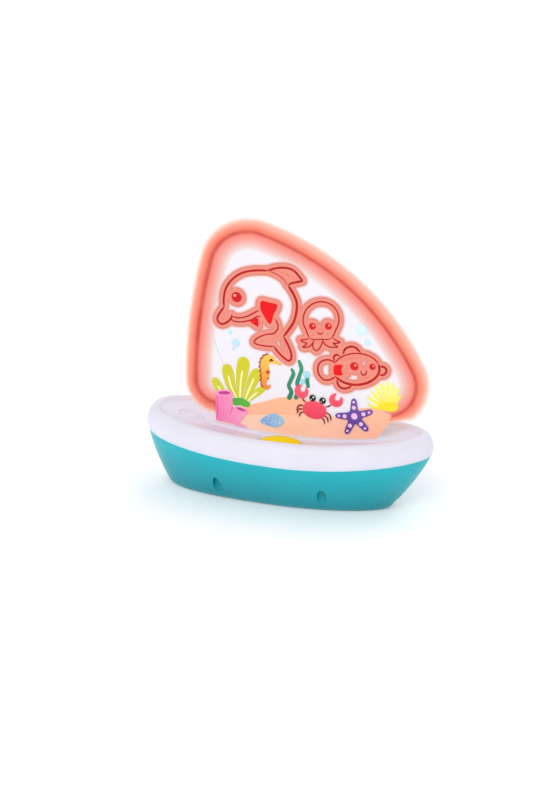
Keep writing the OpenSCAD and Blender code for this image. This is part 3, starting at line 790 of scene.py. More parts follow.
def seam_seal():
    """Soft bead squeezed out a little between hull and deck."""
    z = SEAM_Z - SEAL_T / 2
    # Section of the bead: inset from the widest line, height
    profile = [(3.7, -0.25), (1.7, -0.25), (1.35, -0.15), (1.2, 0), (1.35, 0.15), (1.7, 0.25), (3.7, 0.25)]
    rings = [inset_ring(inset, z + up) for inset, up in profile]
    bead = facing_out(lofted("seam_bead", rings, closed=True))
    shade(bead, 60)
    return finish_piece(bead, "hull", LOOK["silicone"], ["hull_seal"])


def button():
    """Hollow domed cap with a flange, and a stem that reaches the switch."""
    rings = []

    def oval_ring(grow, z, scale=1.0):
        rx, ry = (BUTTON_R[0] + grow) * scale, (BUTTON_R[1] + grow) * scale
        rings.append([(x, y, z) for x, y in loop(0, BUTTON_Y, max(rx, 0.05), max(ry, 0.05), n=96)])

    inner_edge = BUTTON_EDGE_Z - 1
    for angle in (84, 70, 52, 34, 16, 0):
        t = math.radians(angle)
        oval_ring(-2, inner_edge + (BUTTON_DOME - 1.2) * math.sin(t), math.cos(t))
    low, high = FLANGE_Z
    for grow, z in ((-2, low), (1.3, low), (1.4, low + 0.1), (1.4, high - 0.1), (1.3, high), (0, high),
                    (0, BUTTON_EDGE_Z - 0.9), (-0.12, BUTTON_EDGE_Z - 0.3)):
        oval_ring(grow, z)
    for angle in (8, 16, 25, 35, 46, 58, 70, 80, 87):
        t = math.radians(angle)
        oval_ring(0, BUTTON_EDGE_Z + BUTTON_DOME * math.sin(t), math.cos(t))
    cap = facing_out(lofted("button_dome", rings))
    cap = combine(cap, [post(0, BUTTON_Y, STEM_R, STEM_LOW_Z, BUTTON_EDGE_Z + BUTTON_DOME - 1)], "UNION")
    shade(cap, 40)
    return finish_piece(cap, "button", LOOK["button"], ["button_cap"])


# ---- Sail ----
def distance_to(points, paths):
    """Distance from each (x, z) point to the nearest point of the paths, worked out in chunks."""
    chunk = 2000
    targets = np.array([p for path in paths for p in path])
    points = np.array(points)
    out = np.empty(len(points))
    for i in range(0, len(points), chunk):
        block = points[i:i + chunk, None, :] - targets[None, :, :]
        out[i:i + chunk] = np.sqrt((block ** 2).sum(2)).min(1)
    return out


def inside(points, outline):
    """For each (x, z) point, whether it lies within the closed outline."""
    x, z = np.array(points).T
    hit = np.zeros(len(x), bool)
    for (x0, z0), (x1, z1) in zip(outline, outline[1:] + outline[:1]):
        if z0 != z1:
            hit ^= ((z0 > z) != (z1 > z)) & (x < (x1 - x0) * (z - z0) / (z1 - z0) + x0)
    return hit


def even(path, step, closed=False):
    """The path resampled at an even step."""
    pts = list(path) + ([path[0]] if closed else [])
    lengths = [0.0]
    for a, b in zip(pts, pts[1:]):
        lengths.append(lengths[-1] + math.dist(a, b))
    total = lengths[-1]
    count = max(2, round(total / step))
    out, k = [], 0
    for i in range(count if closed else count + 1):
        want = total * i / count
        while k < len(pts) - 2 and lengths[k + 1] < want:
            k += 1
        span = lengths[k + 1] - lengths[k] or 1
        t = (want - lengths[k]) / span
        out.append(tuple(p + (q - p) * t for p, q in zip(pts[k], pts[k + 1])))
    return out


NECK_TIP = (86, 77)
NECK_STERN_Z = 73.2
NECK_LEVEL = 81      # the outline is open below this height, where the neck takes over
TAB_Z = 37.2
BOW_SIDE_X = 60        # the rim's bow end lies beyond this
RIM_END_TOP_Z = 100    # and below this
RIM_END_SHIFT = 0.6
RIM_STEPS = 420
FAR_MM = 30            # the panel's glow doesn't change beyond this distance


def panel_outline():
    """Clockwise: the sail, with the neck that goes down through the deck."""
    full = sail_outline(0, 60, first=2)
    start = next(i for i, p in enumerate(full) if p[0] < NECK[0])
    end = max(i for i, p in enumerate(full) if p[0] > NECK_TIP[0] - 0.5)
    body = [p for p in full[start:end + 1] if not (NECK[0] < p[0] < NECK_TIP[0] and p[1] < NECK_LEVEL)]
    foot = [NECK_TIP, (NECK[1], collar_z(NECK[1])), (NECK[1], TAB_Z), (NECK[0], TAB_Z)]
    return [(NECK[0], NECK_STERN_Z)] + body + foot


def sail_panel(line_paths):
    outline = even(panel_outline(), 1.0, closed=True)
    flat, faces = filled(counter_clockwise(outline), 1.0)
    n, half = len(flat), SAIL_T / 2
    verts = [(x, -half, z) for x, z in flat] + [(x, half, z) for x, z in flat]
    solid = faces + [tuple(n + i for i in reversed(f)) for f in faces]
    solid += [(b, a, n + a, n + b) for a, b in open_edges(faces)]
    panel = facing_out(new_object("sail_sheet", verts, solid))
    places = flat + flat
    rim = distance_to(places, [rim_path(0, 900)])
    lines = distance_to(places, [even(path, 0.6) for path in line_paths])
    for name, values in (("rim_mm", rim), ("line_mm", lines)):
        layer = panel.data.attributes.new(name, "FLOAT", "POINT")
        layer.data.foreach_set("value", np.minimum(values, FAR_MM).astype(np.float32))
    shade(panel, 40)
    panel.visible_shadow = False
    return finish_piece(panel, "hull", LOOK["panel"], ["sail_panel"])


# Half-section of the rim: (distance outward from the outline, half thickness)
RIM_SECTION = [(-1.45, 2.08), (-1.2, 2.22), (-0.5, 2.42), (-0.25, 2.3), (0.0, 2.2), (0.25, 2.35),
               (0.6, 2.9), (1.4, 3.3), (2.6, 3.5), (4.5, 3.45), (6.5, 3.25), (8.2, 2.85), (9.6, 2.2),
               (10.5, 1.4), (11.0, 0.5)]


def rim_path(d, count):
    """The outline moved out by d, from the neck's left edge round to its right edge."""
    line = sail_outline(d, 120, first=2)
    start = next(i for i, p in enumerate(line) if p[0] < NECK[0] - 0.3)
    line = line[start:]
    slope = (NECK_TIP[0] - NECK[1]) / (NECK_TIP[1] - collar_z(NECK[1]))

    def past_neck(p):
        return p[1] < RIM_END_TOP_Z and p[0] < NECK_TIP[0] - RIM_END_SHIFT + slope * (p[1] - NECK_TIP[1])

    stop = next(i for i, p in enumerate(line) if p[0] > BOW_SIDE_X and past_neck(p))
    path = even(line[:stop], 0.5)
    return [path[round(i * (len(path) - 1) / (count - 1))] for i in range(count)]


NARROW_FROM_Z = 92
NARROW_OVER = 12
NARROW_BY = 0.9


def narrowing(place):
    """The glow closes in towards the outline where the bow corner comes down to the deck."""
    x, z = place
    share = min(1, max(0, (NARROW_FROM_Z - z) / NARROW_OVER))
    return 1 + NARROW_BY * share if x > BOW_SIDE_X else 1


def sail_rim():
    """Soft rim swept along the outline, open where the neck is."""
    count = RIM_STEPS
    section = RIM_SECTION + [(d, -t) for d, t in reversed(RIM_SECTION)]
    paths = {d: rim_path(d, count) for d, _ in RIM_SECTION}
    m = len(section)
    points = [(paths[d][i][0], -t, paths[d][i][1]) for i in range(count) for d, t in section]
    faces = ring_faces(count, m)
    faces.append(tuple(range(m)))
    faces.append(tuple(reversed(range((count - 1) * m, count * m))))
    rim = facing_out(new_object("sail_glow_rim", points, faces))
    layer = rim.data.attributes.new("out_mm", "FLOAT", "POINT")
    depth = [narrowing(paths[0.0][i]) * (d if d > 0 else -0.6 * d) for i in range(count) for d, _ in section]
    layer.data.foreach_set("value", np.array(depth, np.float32))
    shade(rim, 50)
    rim.visible_shadow = False
    return finish_piece(rim, "hull", LOOK["rim"], ["sail_rim"])


# ---- Pictures on the sail ----
FACE = SAIL_T / 2 + 0.02   # the film lies this far from the sail's middle plane
LEAN = 0.112               # the pictures rise this much for each mm towards the bow


def placed(anchor, points):
    return [(anchor[0] + u, anchor[1] + v + LEAN * u) for u, v in points]


def joined(parts):
    """One list of points and one of faces from several (points, faces) pairs."""
    points, faces = [], []
    for more_points, more_faces in parts:
        base = len(points)
        points += more_points
        faces += [tuple(base + i for i in f) for f in more_faces]
    return points, faces


def two_sided(name, shapes, angle, material, replaces=()):
    """One piece from the parts that shapes(side) makes on the front, -1, and on the back, 1."""
    parts = [part for side in (-1, 1) for part in shapes(side)]
    obj = shade(facing_out(new_object(name, *joined(parts))), angle)
    return finish_piece(obj, "hull", material, replaces)


# Section of a raised line: share of its half-width, share of its height
RIBBON_SECTION = [(-1, 0), (-0.6, 0.75), (0, 1), (0.6, 0.75), (1, 0)]


def ribbon_shape(path, width, height, side, lift):
    """Raised rounded line along a path of (x, z) points, tapered over four steps at each end."""
    path = even(path, 0.6)
    n, m = len(path), len(RIBBON_SECTION)
    points = []
    for i, (x, z) in enumerate(path):
        ahead, behind = path[min(n - 1, i + 1)], path[max(0, i - 1)]
        dx, dz = ahead[0] - behind[0], ahead[1] - behind[1]
        length = math.hypot(dx, dz) or 1
        nx, nz = -dz / length, dx / length
        taper = min(1.0, 0.35 + 0.65 * min(i, n - 1 - i) / 4)
        half = width / 2 * taper
        for across, up in RIBBON_SECTION:
            y = side * (FACE + lift + height * up)
            points.append((x + nx * half * across, y, z + nz * half * across))
    ends = [tuple(reversed(range(m))), tuple(range((n - 1) * m, n * m))]
    return points, ring_faces(n, m) + ends


def ribbons(name, strokes, material, height=0.22, lift=0.0):
    """strokes: (path, width) for each raised line."""
    def shapes(side):
        return [ribbon_shape(path, width, height, side, lift) for path, width in strokes]

    return two_sided(name, shapes, 60, material)


def counter_clockwise(outline):
    area = sum(a[0] * b[1] - b[0] * a[1] for a, b in zip(outline, outline[1:] + outline[:1]))
    return list(outline) if area > 0 else list(reversed(outline))


def filled(outline, step):
    """Triangles over an outline of (x, z) points, with a grid of points inside it."""
    xs, zs = [p[0] for p in outline], [p[1] for p in outline]
    grid = []
    row, z = 0, min(zs) + step / 2
    while z < max(zs):
        x = min(xs) + (row % 2) * step / 2
        while x < max(xs):
            grid.append((x, z))
            x += step
        z += step * 0.87
        row += 1
    if grid:
        keep = (distance_to(grid, [outline]) > step * 0.6) & inside(grid, outline)
        grid = [p for p, kept in zip(grid, keep) if kept]
    count = len(outline)
    sides = [(i, (i + 1) % count) for i in range(count)]
    flat, _, faces, *_ = delaunay_2d_cdt([Vector(p) for p in list(outline) + grid], sides, [], 0, 1e-5, False)
    flat = [(p.x, p.y) for p in flat]
    middles = [tuple(sum(flat[i][axis] for i in f) / len(f) for axis in range(2)) for f in faces]
    return flat, [tuple(f) for f, kept in zip(faces, inside(middles, outline)) if kept]


def open_edges(faces):
    """Directed edges that only one face uses."""
    used = {(a, b) for f in faces for a, b in zip(f, f[1:] + f[:1])}
    return [(a, b) for a, b in used if (b, a) not in used]


def plate_shape(outline, thick, side, lift, soft):
    """Thin plate on the film, pillow-shaped: it rises over the distance soft from its edge."""
    outline = even(counter_clockwise(outline), 0.5, closed=True)
    step = max(0.55, soft * 0.6) if soft > 0.35 else 1.4
    flat, faces = filled(outline, step)
    gaps = distance_to(flat, [outline])
    n = len(flat)
    points = [(x, side * (FACE + lift), z) for x, z in flat]
    for (x, z), gap in zip(flat, gaps):
        rise = min(1.0, gap / soft)
        share = 0.5 + 0.5 * math.sqrt(1 - (1 - rise) ** 2)
        points.append((x, side * (FACE + lift + thick * share), z))
    solid = faces + [tuple(n + i for i in reversed(f)) for f in faces]
    solid += [(b, a, n + a, n + b) for a, b in open_edges(faces)]
    return points, solid


def plates(name, outlines, material, thick=0.25, lift=0.0, soft=0.3, replaces=()):
    """One pillow-shaped plate for each outline."""
    def shapes(side):
        return [plate_shape(outline, thick, side, lift, soft) for outline in outlines]

    return two_sided(name, shapes, 50, material, replaces)


# Profile of a dome: share of its radius, share of its rise
DOME_STEPS = [(1.0, 0.0), (0.98, 0.35), (0.9, 0.62), (0.72, 0.84), (0.42, 0.97)]


def dome_shape(x, z, r, side, lift, rise):
    n = 28
    points = [(px, side * (FACE + lift + rise * up), pz)
              for share, up in DOME_STEPS for px, pz in loop(x, z, r * share, n=n)]
    last = (len(DOME_STEPS) - 1) * n
    faces = ring_faces(len(DOME_STEPS), n)
    hub = len(points)
    points.append((x, side * (FACE + lift + rise), z))
    faces += [(hub, last + j, last + (j + 1) % n) for j in range(n)]
    faces.append(tuple(reversed(range(n))))
    return points, faces


def domes(name, discs, material, lift=0.0, rise=0.35):
    """discs: (x, z, radius); each is a low round dome."""
    def shapes(side):
        return [dome_shape(x, z, r, side, lift, rise) for x, z, r in discs]

    return two_sided(name, shapes, 60, material)


# Widths of the engraved lines
THIN = 1.15
BOLD = 1.75
HEAVY = 2.0
HAIR = 0.7

# Each figure is drawn about its own anchor on the sail, in mm
DOLPHIN = (-23, 155.5)
OCTOPUS = (27.4, 153.2)
FISH = (56.6, 115.4)


def dolphin_strokes():
    brow = smooth([(-30.2, 3.4), (-30.5, 9.7), (-28.6, 18.4), (-23.3, 25.8), (-14.9, 31.1), (-4.3, 33),
                   (6.3, 32.7)])
    fin = smooth([(6.3, 32.7), (13.7, 34.6), (22.2, 34.6), (28.8, 31.6), (34.9, 24.2)])
    fin += smooth([(34.6, 23.8), (30.6, 23), (25.9, 22), (23.4, 20.2)])
    back = smooth([(23.4, 20.2), (27, 14.5), (30.1, 7.6), (30.4, 0), (28, -9.5), (23.2, -17), (19.5, -21.8)])
    right_fluke = smooth([(19.5, -21.8), (23.2, -28.7), (25.9, -36.2), (25.6, -41), (23.2, -42), (19, -38.9),
                          (14.8, -34.6), (11.6, -30)])
    left_fluke = smooth([(11.6, -30), (7.4, -30), (1, -29.2), (-4.3, -27.6), (-4.8, -25.3), (-1.1, -22.3),
                         (5.2, -20), (11, -19.3), (13.7, -17), (15, -13.7), (14, -9.8), (12.4, -7)])
    beak = smooth([(-30.2, 3.4), (-33.4, -0.9), (-35.9, -5.2), (-35.5, -9), (-32.4, -11.1), (-28.1, -9.7),
                   (-24.6, -6.5), (-23.8, -3.4)])
    lip = smooth([(-23.8, -4.4), (-20.2, -5.8), (-14.9, -5.8), (-9.5, -4.2), (-4.3, -1.5), (-0.9, 0.2)])
    jaw = smooth([(-28.1, -9.7), (-24.4, -7.6), (-21.2, -9), (-14.9, -9.3), (-7.5, -7.9), (-3.2, -5.4),
                  (0.5, -4.7)])
    fin_root = smooth([(7.9, 32.4), (15.8, 28.5), (20.6, 24.2), (22.7, 20.4)])
    return [(brow, BOLD), (fin, BOLD), (back, HEAVY), (right_fluke, BOLD), (left_fluke, THIN),
            (beak, BOLD), (lip, THIN), (jaw, THIN), (fin_root, HAIR)]


def octopus_strokes():
    head = smooth([(-9.6, -15), (-10.6, -12.8), (-11.8, -9.6)]) + arc(0, 0, 14.7, 213, -33, n=60)
    head += smooth([(11.8, -9.6), (10.4, -12.8), (9, -15)])
    chin = smooth([(-9.6, -15), (-6.5, -16.4), (0, -16.2), (6, -16.4), (9, -15)])
    arms = smooth([(-9.6, -15.4), (-12.5, -16.4), (-16.7, -16.8)], 4)
    arms += smooth([(-16.4, -17.2), (-14, -19), (-11.6, -19.2), (-12.4, -20.8), (-15.1, -22.6)], 4)
    arms += smooth([(-14.6, -22.8), (-11, -22.8), (-8.2, -21.3), (-5.6, -17.6)], 4)
    middle = smooth([(-5.8, -17), (-6.6, -20), (-6.2, -23.6), (-3.8, -26)], 4)
    middle += smooth([(-3.4, -25.8), (-0.6, -23.2), (1, -19.4), (1.4, -16.8)], 4)
    right = smooth([(1.6, -17), (3.4, -20.4), (8, -22.8), (14, -22.8)], 4)
    right += smooth([(13.8, -22.4), (11.2, -20.6), (10, -19.2), (12.4, -19.6), (15.9, -18.9)], 4)
    right += smooth([(15.7, -18.5), (12.6, -17.2), (9.4, -14.8)], 4)
    smile = smooth([(-3, -10), (-2, -11.4), (-0.6, -11.9), (0.8, -11.4), (1.8, -10.1)])
    return [(head, THIN), (chin, 0.9), (arms, THIN), (middle, THIN), (right, THIN), (smile, THIN)]


def fish_strokes():
    back = arc(0, 0, 18.9, 158, 18, 13.1, n=48)
    belly = arc(0, 0, 18.9, 20, -152, 13.1, n=48)
    tail = smooth([(-17.5, 4.9), (-19.4, 6.6), (-23.6, 7.8), (-28.9, 6.2), (-31.5, 1.4), (-30.6, -4.5),
                   (-26.8, -8.8), (-22.6, -9.2), (-19, -7.8), (-16.7, -6.1)])
    snout = arc(20.6, -1.4, 4, 118, -118, 3.6)
    top_fin = smooth([(-10.9, 12.2), (-9.3, 16.6), (-5.1, 18.7), (-0.8, 17.9), (3.4, 13.7)])
    small_fin = smooth([(-18, 6.4), (-18.3, 10.4), (-16.2, 12), (-13.2, 10.6)])
    low_fin = smooth([(-16, -9), (-13.8, -14.4), (-9.9, -16.3), (-5.6, -15.4), (-3.5, -13.4)])
    smile = smooth([(3.9, -1.3), (4.3, -3.6), (6.2, -5), (8, -3.7), (8.5, -0.9)])
    return [(back, THIN), (belly, BOLD + 0.2), (tail, THIN + 0.2), (snout, BOLD), (top_fin, BOLD),
            (small_fin, BOLD), (low_fin, BOLD), (smile, THIN)]


# Lines without a raised engraved stroke that only spread the painted glow inside a figure
GLOW_ONLY = {
    DOLPHIN: [[(10, 33.2), (18, 31.4), (25, 28), (30.6, 25)], [(-30.4, -1), (-31, -7.4)],
              [(-12, -7.6), (-6, -6)], [(20, -27), (22.6, -36)], [(6, -25), (16, -21)]],
    OCTOPUS: [[(-7, -8), (7, -8)], [(-10, -19), (10, -19)]],
    FISH: [[(-13, 8), (4, 9.6)], [(5, -8.6), (12, -5)], [(-8, 3), (-8, -4)], [(-6, 15.6), (0, 15.6)]],
}


def engraved_figures():
    """Returns every engraved path, so that the panel can glow around them."""
    paths = []
    for name, anchor, strokes in (("dolphin_engraving", DOLPHIN, dolphin_strokes()),
                                  ("octopus_engraving", OCTOPUS, octopus_strokes()),
                                  ("fish_engraving", FISH, fish_strokes())):
        on_sail = [(placed(anchor, path), width) for path, width in strokes]
        ribbons(name, on_sail, LOOK["line"])
        paths += [path for path, _ in on_sail]
    flipper = smooth([(1, 7.6), (7, 6.6), (13.7, 4.9), (14, 2.3), (11, -4.2), (9.5, -10), (7.4, -10.8),
                      (4.2, -6.3), (0.4, 1.2)], 5, closed=True)
    far_flipper = smooth([(-8.2, -8.8), (-2.4, -6.2), (-1.4, -10), (-1.8, -13.4), (-4.6, -11.8)], 5, True)
    stripe = [(-18.4, 1.6), (-17.2, 3.4), (-12, 3.6), (-11.2, 2.8), (-12, 0.4), (-12, -2), (-11, -4.4),
              (-12, -5.2), (-17, -5), (-18.4, -3.4)]
    fills = [placed(DOLPHIN, flipper), placed(DOLPHIN, far_flipper),
             placed(FISH, smooth(stripe, 4, closed=True))]
    plates("engraved_fills", fills, LOOK["red"])
    paths += fills
    eyes, glints = [], []
    for anchor, u, v, r in ((DOLPHIN, -19.6, 11.3, 4.2), (OCTOPUS, -7, -5.5, 2.8), (OCTOPUS, 6, -5.5, 2.8),
                            (FISH, -1.6, 2.3, 3.4), (FISH, 13.2, 1.9, 2.5)):
        (x, z), = placed(anchor, [(u, v)])
        eyes.append((x, z, r))
        glints.append((x - 0.3 * r if anchor is DOLPHIN else x + 0.3 * r, z + 0.3 * r, 0.26 * r))
        paths.append(loop(x, z, r))
    paths += [placed(anchor, even(path, 0.6)) for anchor, lines in GLOW_ONLY.items() for path in lines]
    domes("engraved_eyes", eyes, LOOK["eye"])
    domes("engraved_eye_glints", glints, glowing_line("eye_glint", (255, 190, 180), (250, 160, 150)),
          lift=0.28, rise=0.12)
    return paths


# ---- Printed sea bed ----
def tube_outline(points, widths):
    """Closed outline of a strip with a width at each of its points."""
    path = smooth([(x, z, w) for (x, z), w in zip(points, widths)], 5)
    left, right = [], []
    for i, (x, z, w) in enumerate(path):
        ax, az, _ = path[max(0, i - 1)]
        bx, bz, _ = path[min(len(path) - 1, i + 1)]
        length = math.hypot(bx - ax, bz - az) or 1
        nx, nz = -(bz - az) / length, (bx - ax) / length
        left.append((x + nx * w / 2, z + nz * w / 2))
        right.append((x - nx * w / 2, z - nz * w / 2))
    ends = []
    for (x, z, w), (px, pz, _), side in ((path[-1], path[-2], 1), (path[0], path[1], -1)):
        heading = math.degrees(math.atan2(z - pz, x - px))
        ends.append(arc(x, z, w / 2, heading + 90, heading - 90, n=8)[1:-1])
    return left + ends[0] + list(reversed(right)) + ends[1]


def sand():
    base = [(x, collar_z(x) + 0.05) for x in np.linspace(NECK[1] - 0.5, NECK[0] + 0.6, 24)]
    ridge = smooth([(NECK[0] + 0.6, 70), (-50, 70), (-36, 73.4), (-18, 80), (-6, 84.4), (6, 85.4), (16, 85.6),
                    (28, 79), (37, 73.4), (50, 74), (57, 79.6), (62, 83.4), (72, 84), (85.6, 80.4)], 5)
    right = [(86.2, 77.6), (80.9, 68)]
    plates("sand_print", [base + ridge + right],
           ink("sand_ink", (255, 219, 194), (255, 184, 150), "X", (-60, 90), glow=0.13),
           replaces=["sea_bed_print"], soft=0.2)
    dune = smooth([(-40, 65.5), (-20, 67.8), (-2, 70), (10, 71.5), (14, 77), (12, 84), (6, 84.9), (-6, 83.9),
                   (-18, 79.4), (-32, 74)], 5, closed=True)
    plates("dune_print", [dune], ink("dune_ink", (255, 190, 154), (255, 186, 148), "Z", (66, 86), glow=0.12),
           lift=0.22, thick=0.1, soft=0.4)


CORAL_X = -38.5   # each rib starts halfway between its leaf's root and here


def coral():
    leaves = [([(-52, 76), (-56, 82.5), (-59.3, 88.1), (-61.4, 91.4)], (4, 7, 7.6, 6.8)),
              ([(-43.5, 80), (-48.1, 89.4), (-50.2, 98.4), (-51.2, 103)], (3.6, 8, 9.8, 9)),
              ([(-40.3, 80), (-39.7, 92), (-38.1, 104), (-37.2, 110)], (3.8, 8, 10.6, 10.2)),
              ([(-36, 79.5), (-31.8, 89.7), (-28, 98.6), (-26.2, 102)], (3.6, 7.6, 9.6, 9)),
              ([(-34, 77.5), (-29.4, 82.6), (-25.1, 86.6), (-20, 90.6)], (2.6, 4.8, 6, 4.8))]
    plates("coral_print", [tube_outline(points, widths) for points, widths in leaves],
           ink("coral_ink", (208, 210, 62), (212, 202, 22), "Z", (78, 112)), lift=0.3, thick=0.35, soft=0.5)
    ribs = [(smooth([((points[0][0] + CORAL_X) / 2, points[0][1] - 1), *points[:-1]]), 1.9)
            for points, _ in leaves]
    ribbons("coral_ribs", ribs, ink("coral_rib_ink", (254, 250, 176)), lift=0.6, height=0.14)
    foot = smooth([(-46.3, 78.6), (-40.5, 80), (-35.4, 78.9), (-32, 76.2), (-32.6, 73.2), (-36.3, 72.4),
                   (-40.6, 73.4), (-44.9, 72.6), (-47, 75)], 5, closed=True)
    plates("coral_foot", [foot], ink("coral_foot_ink", (78, 172, 56), (96, 190, 60), "X", (-47, -31)),
           lift=0.5, thick=0.4, soft=0.8)


def sponge():
    tall = [(-61.4, 82.5), (-61.4, 58.2), (-52, 57.2), (-42.4, 56), (-41.4, 58), (-46.6, 62), (-46.6, 83.8)]
    leaning = [(-49.2, 61), (-49, 65), (-45.8, 71), (-42.3, 72), (-37.6, 71), (-33.6, 68.8), (-34.4, 67),
               (-37.8, 62.4), (-41.8, 56.9), (-46, 58)]
    foot = smooth([(-44.6, 55.6), (-42, 57.4), (-38, 56.8), (-34.4, 55), (-38, 54.6)], 4, closed=True)
    pink = ink("sponge_ink", (245, 118, 175), (255, 166, 203), "X", (-62, -36), glow=0.12)
    plates("sponge_print", [dense(tall, 1.6), foot], pink, lift=0.6, thick=0.4, soft=0.7)
    plates("sponge_branch", [dense(leaning, 1.6)], pink, lift=0.8, thick=0.4, soft=0.9)
    creases = [[(-46.7, 71), (-47.6, 68), (-48.3, 64.4), (-47.8, 61)],
               [(-59.6, 78.6), (-59.8, 70), (-59.4, 61)], [(-43.2, 67.6), (-44.4, 63.6), (-45.8, 60.4)]]
    ribbons("sponge_creases", [(smooth(points), 0.8) for points in creases],
            ink("sponge_crease_ink", (230, 100, 164)), lift=1.05, height=0.16)
    plates("sponge_lips", [loop(-53.9, 82.6, 7.5, 2.6, 6), loop(-39.4, 69.9, 5.6, 2, -14)],
           ink("sponge_lip_ink", (255, 150, 202), glow=0.12), lift=1.1, thick=0.25, soft=0.3)
    plates("sponge_mouths", [loop(-53.6, 82.8, 5.4, 1.5, 6), loop(-39.2, 70.1, 3.9, 1.0, -14)],
           ink("sponge_mouth_ink", (196, 60, 140)), lift=1.3, thick=0.12, soft=0.2)


def seahorse():
    body = tube_outline([(-13.4, 116.2), (-17, 115.4), (-19.2, 111), (-18.6, 105.4), (-18.8, 99.8),
                         (-19.6, 94.6), (-17.2, 91), (-14.8, 93.4)], (5.8, 6.8, 6.8, 7, 5.6, 3.8, 2.8, 1.8))
    snout = tube_outline([(-13.6, 115), (-9.4, 113.6), (-6.2, 112.8)], (4.6, 2.8, 2.4))
    plates("seahorse_print", [body, snout],
           ink("seahorse_ink", (242, 128, 30), (254, 200, 80), "Z", (90, 118)), lift=0.8, thick=0.4, soft=0.6)
    spine = [(-15.4, 119.6), (-17.8, 120.2), (-18, 118.6), (-20.6, 118.6), (-20.2, 116.6), (-22.8, 115.6),
             (-21.8, 113.8), (-23.8, 112.2), (-22.4, 110.4), (-24, 108.4), (-22.2, 106.8), (-23.4, 104.6),
             (-21.6, 103.2), (-23, 100.8), (-21.6, 99.2), (-23.2, 97), (-21.6, 95.4), (-22.4, 93),
             (-20, 90.8)]
    ribbons("seahorse_spine", [(spine, 1.3)], ink("seahorse_spine_ink", (176, 76, 36)),
            lift=0.85, height=0.3)
    domes("seahorse_spots", [(-16.4, 104.8, 1.7), (-16.2, 99.6, 0.9)],
          ink("seahorse_spot_ink", (196, 70, 40)), lift=1.1, rise=0.2)
    domes("seahorse_eye", [(-13.2, 115.7, 0.9)], ink("seahorse_eye_ink", (40, 34, 30)), lift=1.1, rise=0.2)


def seaweed():
    strands = [tube_outline([(3.6, 109), (4.9, 105.4), (2.6, 99.7), (1, 94.9), (3.2, 90), (1.4, 85)],
                            (2.4, 3.2, 3.2, 3.2, 3.4, 4)),
               tube_outline([(9.6, 116.6), (11, 113), (11.6, 109.9), (10.3, 105.9), (9.1, 101.8), (8.1, 97.8),
                             (9.1, 92), (7, 85.7)],
                            (2.6, 3.4, 3.2, 3, 3.4, 3.4, 3.6, 3.6)),
               tube_outline([(17.4, 107), (16.4, 101.6), (17.2, 96.5)], (2.2, 3.2, 3))]
    plates("seaweed_print", strands, ink("seaweed_ink", (32, 124, 90), (58, 152, 116), "Z", (86, 116)),
           lift=0.3, thick=0.35, soft=0.5)


CRAB = (22.8, 77.1)


def claw(x, z, turn, gape):
    """Round claw with a bite: turn is the way it opens, gape the half-angle of the opening."""
    r, bite = 5.8, 2.3
    outer = arc(x, z, r, turn + gape, turn + 360 - gape, n=36)
    c, s = math.cos(math.radians(turn)), math.sin(math.radians(turn))
    return outer + arc(x + 2.4 * c, z + 2.4 * s, bite, turn - 50, turn - 310, n=20)


def crab():
    shell = ink("crab_ink", (240, 62, 90), (250, 84, 108), "Z", (68, 92))
    body = placed(CRAB, loop(0, 0, 10.2, 7.4, -16, 48))
    plates("crab_print", [body, claw(11.8, 91.6, 66, 15), claw(40.6, 87.6, 62, 24)], shell,
           lift=0.9, thick=0.5, soft=0.8)
    legs = [[(14, 79.6), (9.8, 79.4), (7.6, 75.4)], [(13.4, 76.6), (9.5, 76.1), (8, 72.2)],
            [(14, 74), (11.1, 73.2), (9.8, 69.6)], [(31.4, 76.4), (35.6, 74.2), (36.4, 69.4)],
            [(30, 74), (33.3, 71.5), (34.2, 67.4)], [(27.6, 71.8), (30.5, 69.5), (31.4, 65.8)]]
    arms = [[(16, 82.4), (13.4, 84.4), (12.2, 87.4)], [(31.6, 80.6), (34.8, 81.8), (37, 83.8)]]
    limbs = [(smooth(points), 1.35) for points in legs + arms]
    ribbons("crab_legs", limbs, ink("crab_leg_ink", (136, 40, 52)), lift=0.85, height=0.3)
    eyes = [(21.1, 87.2), (29.5, 85.9)]
    domes("crab_eyes", [(x, z, 2.8) for x, z in eyes], ink("crab_eye_ink", (16, 14, 18), coat=0.2),
          lift=1.1, rise=0.6)
    glints = [(x + 0.9, z + 0.9, 0.7) for x, z in eyes] + [(x - 0.9, z - 1.0, 0.45) for x, z in eyes]
    domes("crab_eye_glints", glints, ink("crab_glint_ink", (250, 250, 255)), lift=1.62, rise=0.14)


STAR = (56, 75.4)
STAR_ARMS = [(93, 15.7), (18, 15.8), (-47, 16.4), (-115, 16.4), (176, 16)]   # direction, reach
STAR_WAIST_R = 6.2


def star_outline():
    """Five arms, each narrowing a little to a round tip, with a waist between neighbours."""
    outline = []
    for (turn, reach), (following, _) in zip(STAR_ARMS[::-1], STAR_ARMS[::-1][1:] + STAR_ARMS[-1:]):
        t = math.radians(turn)
        c, s = math.cos(t), math.sin(t)
        for along, across in ((reach * 0.62, -2.7), (reach - 1.9, -2.1), (reach, 0), (reach - 1.9, 2.1),
                              (reach * 0.62, 2.7)):
            outline.append((along * c - across * s, along * s + across * c))
        waist = math.radians(turn + ((following - turn) % 360) / 2)
        outline.append((STAR_WAIST_R * math.cos(waist), STAR_WAIST_R * math.sin(waist)))
    return placed(STAR, smooth(outline, 4, closed=True))


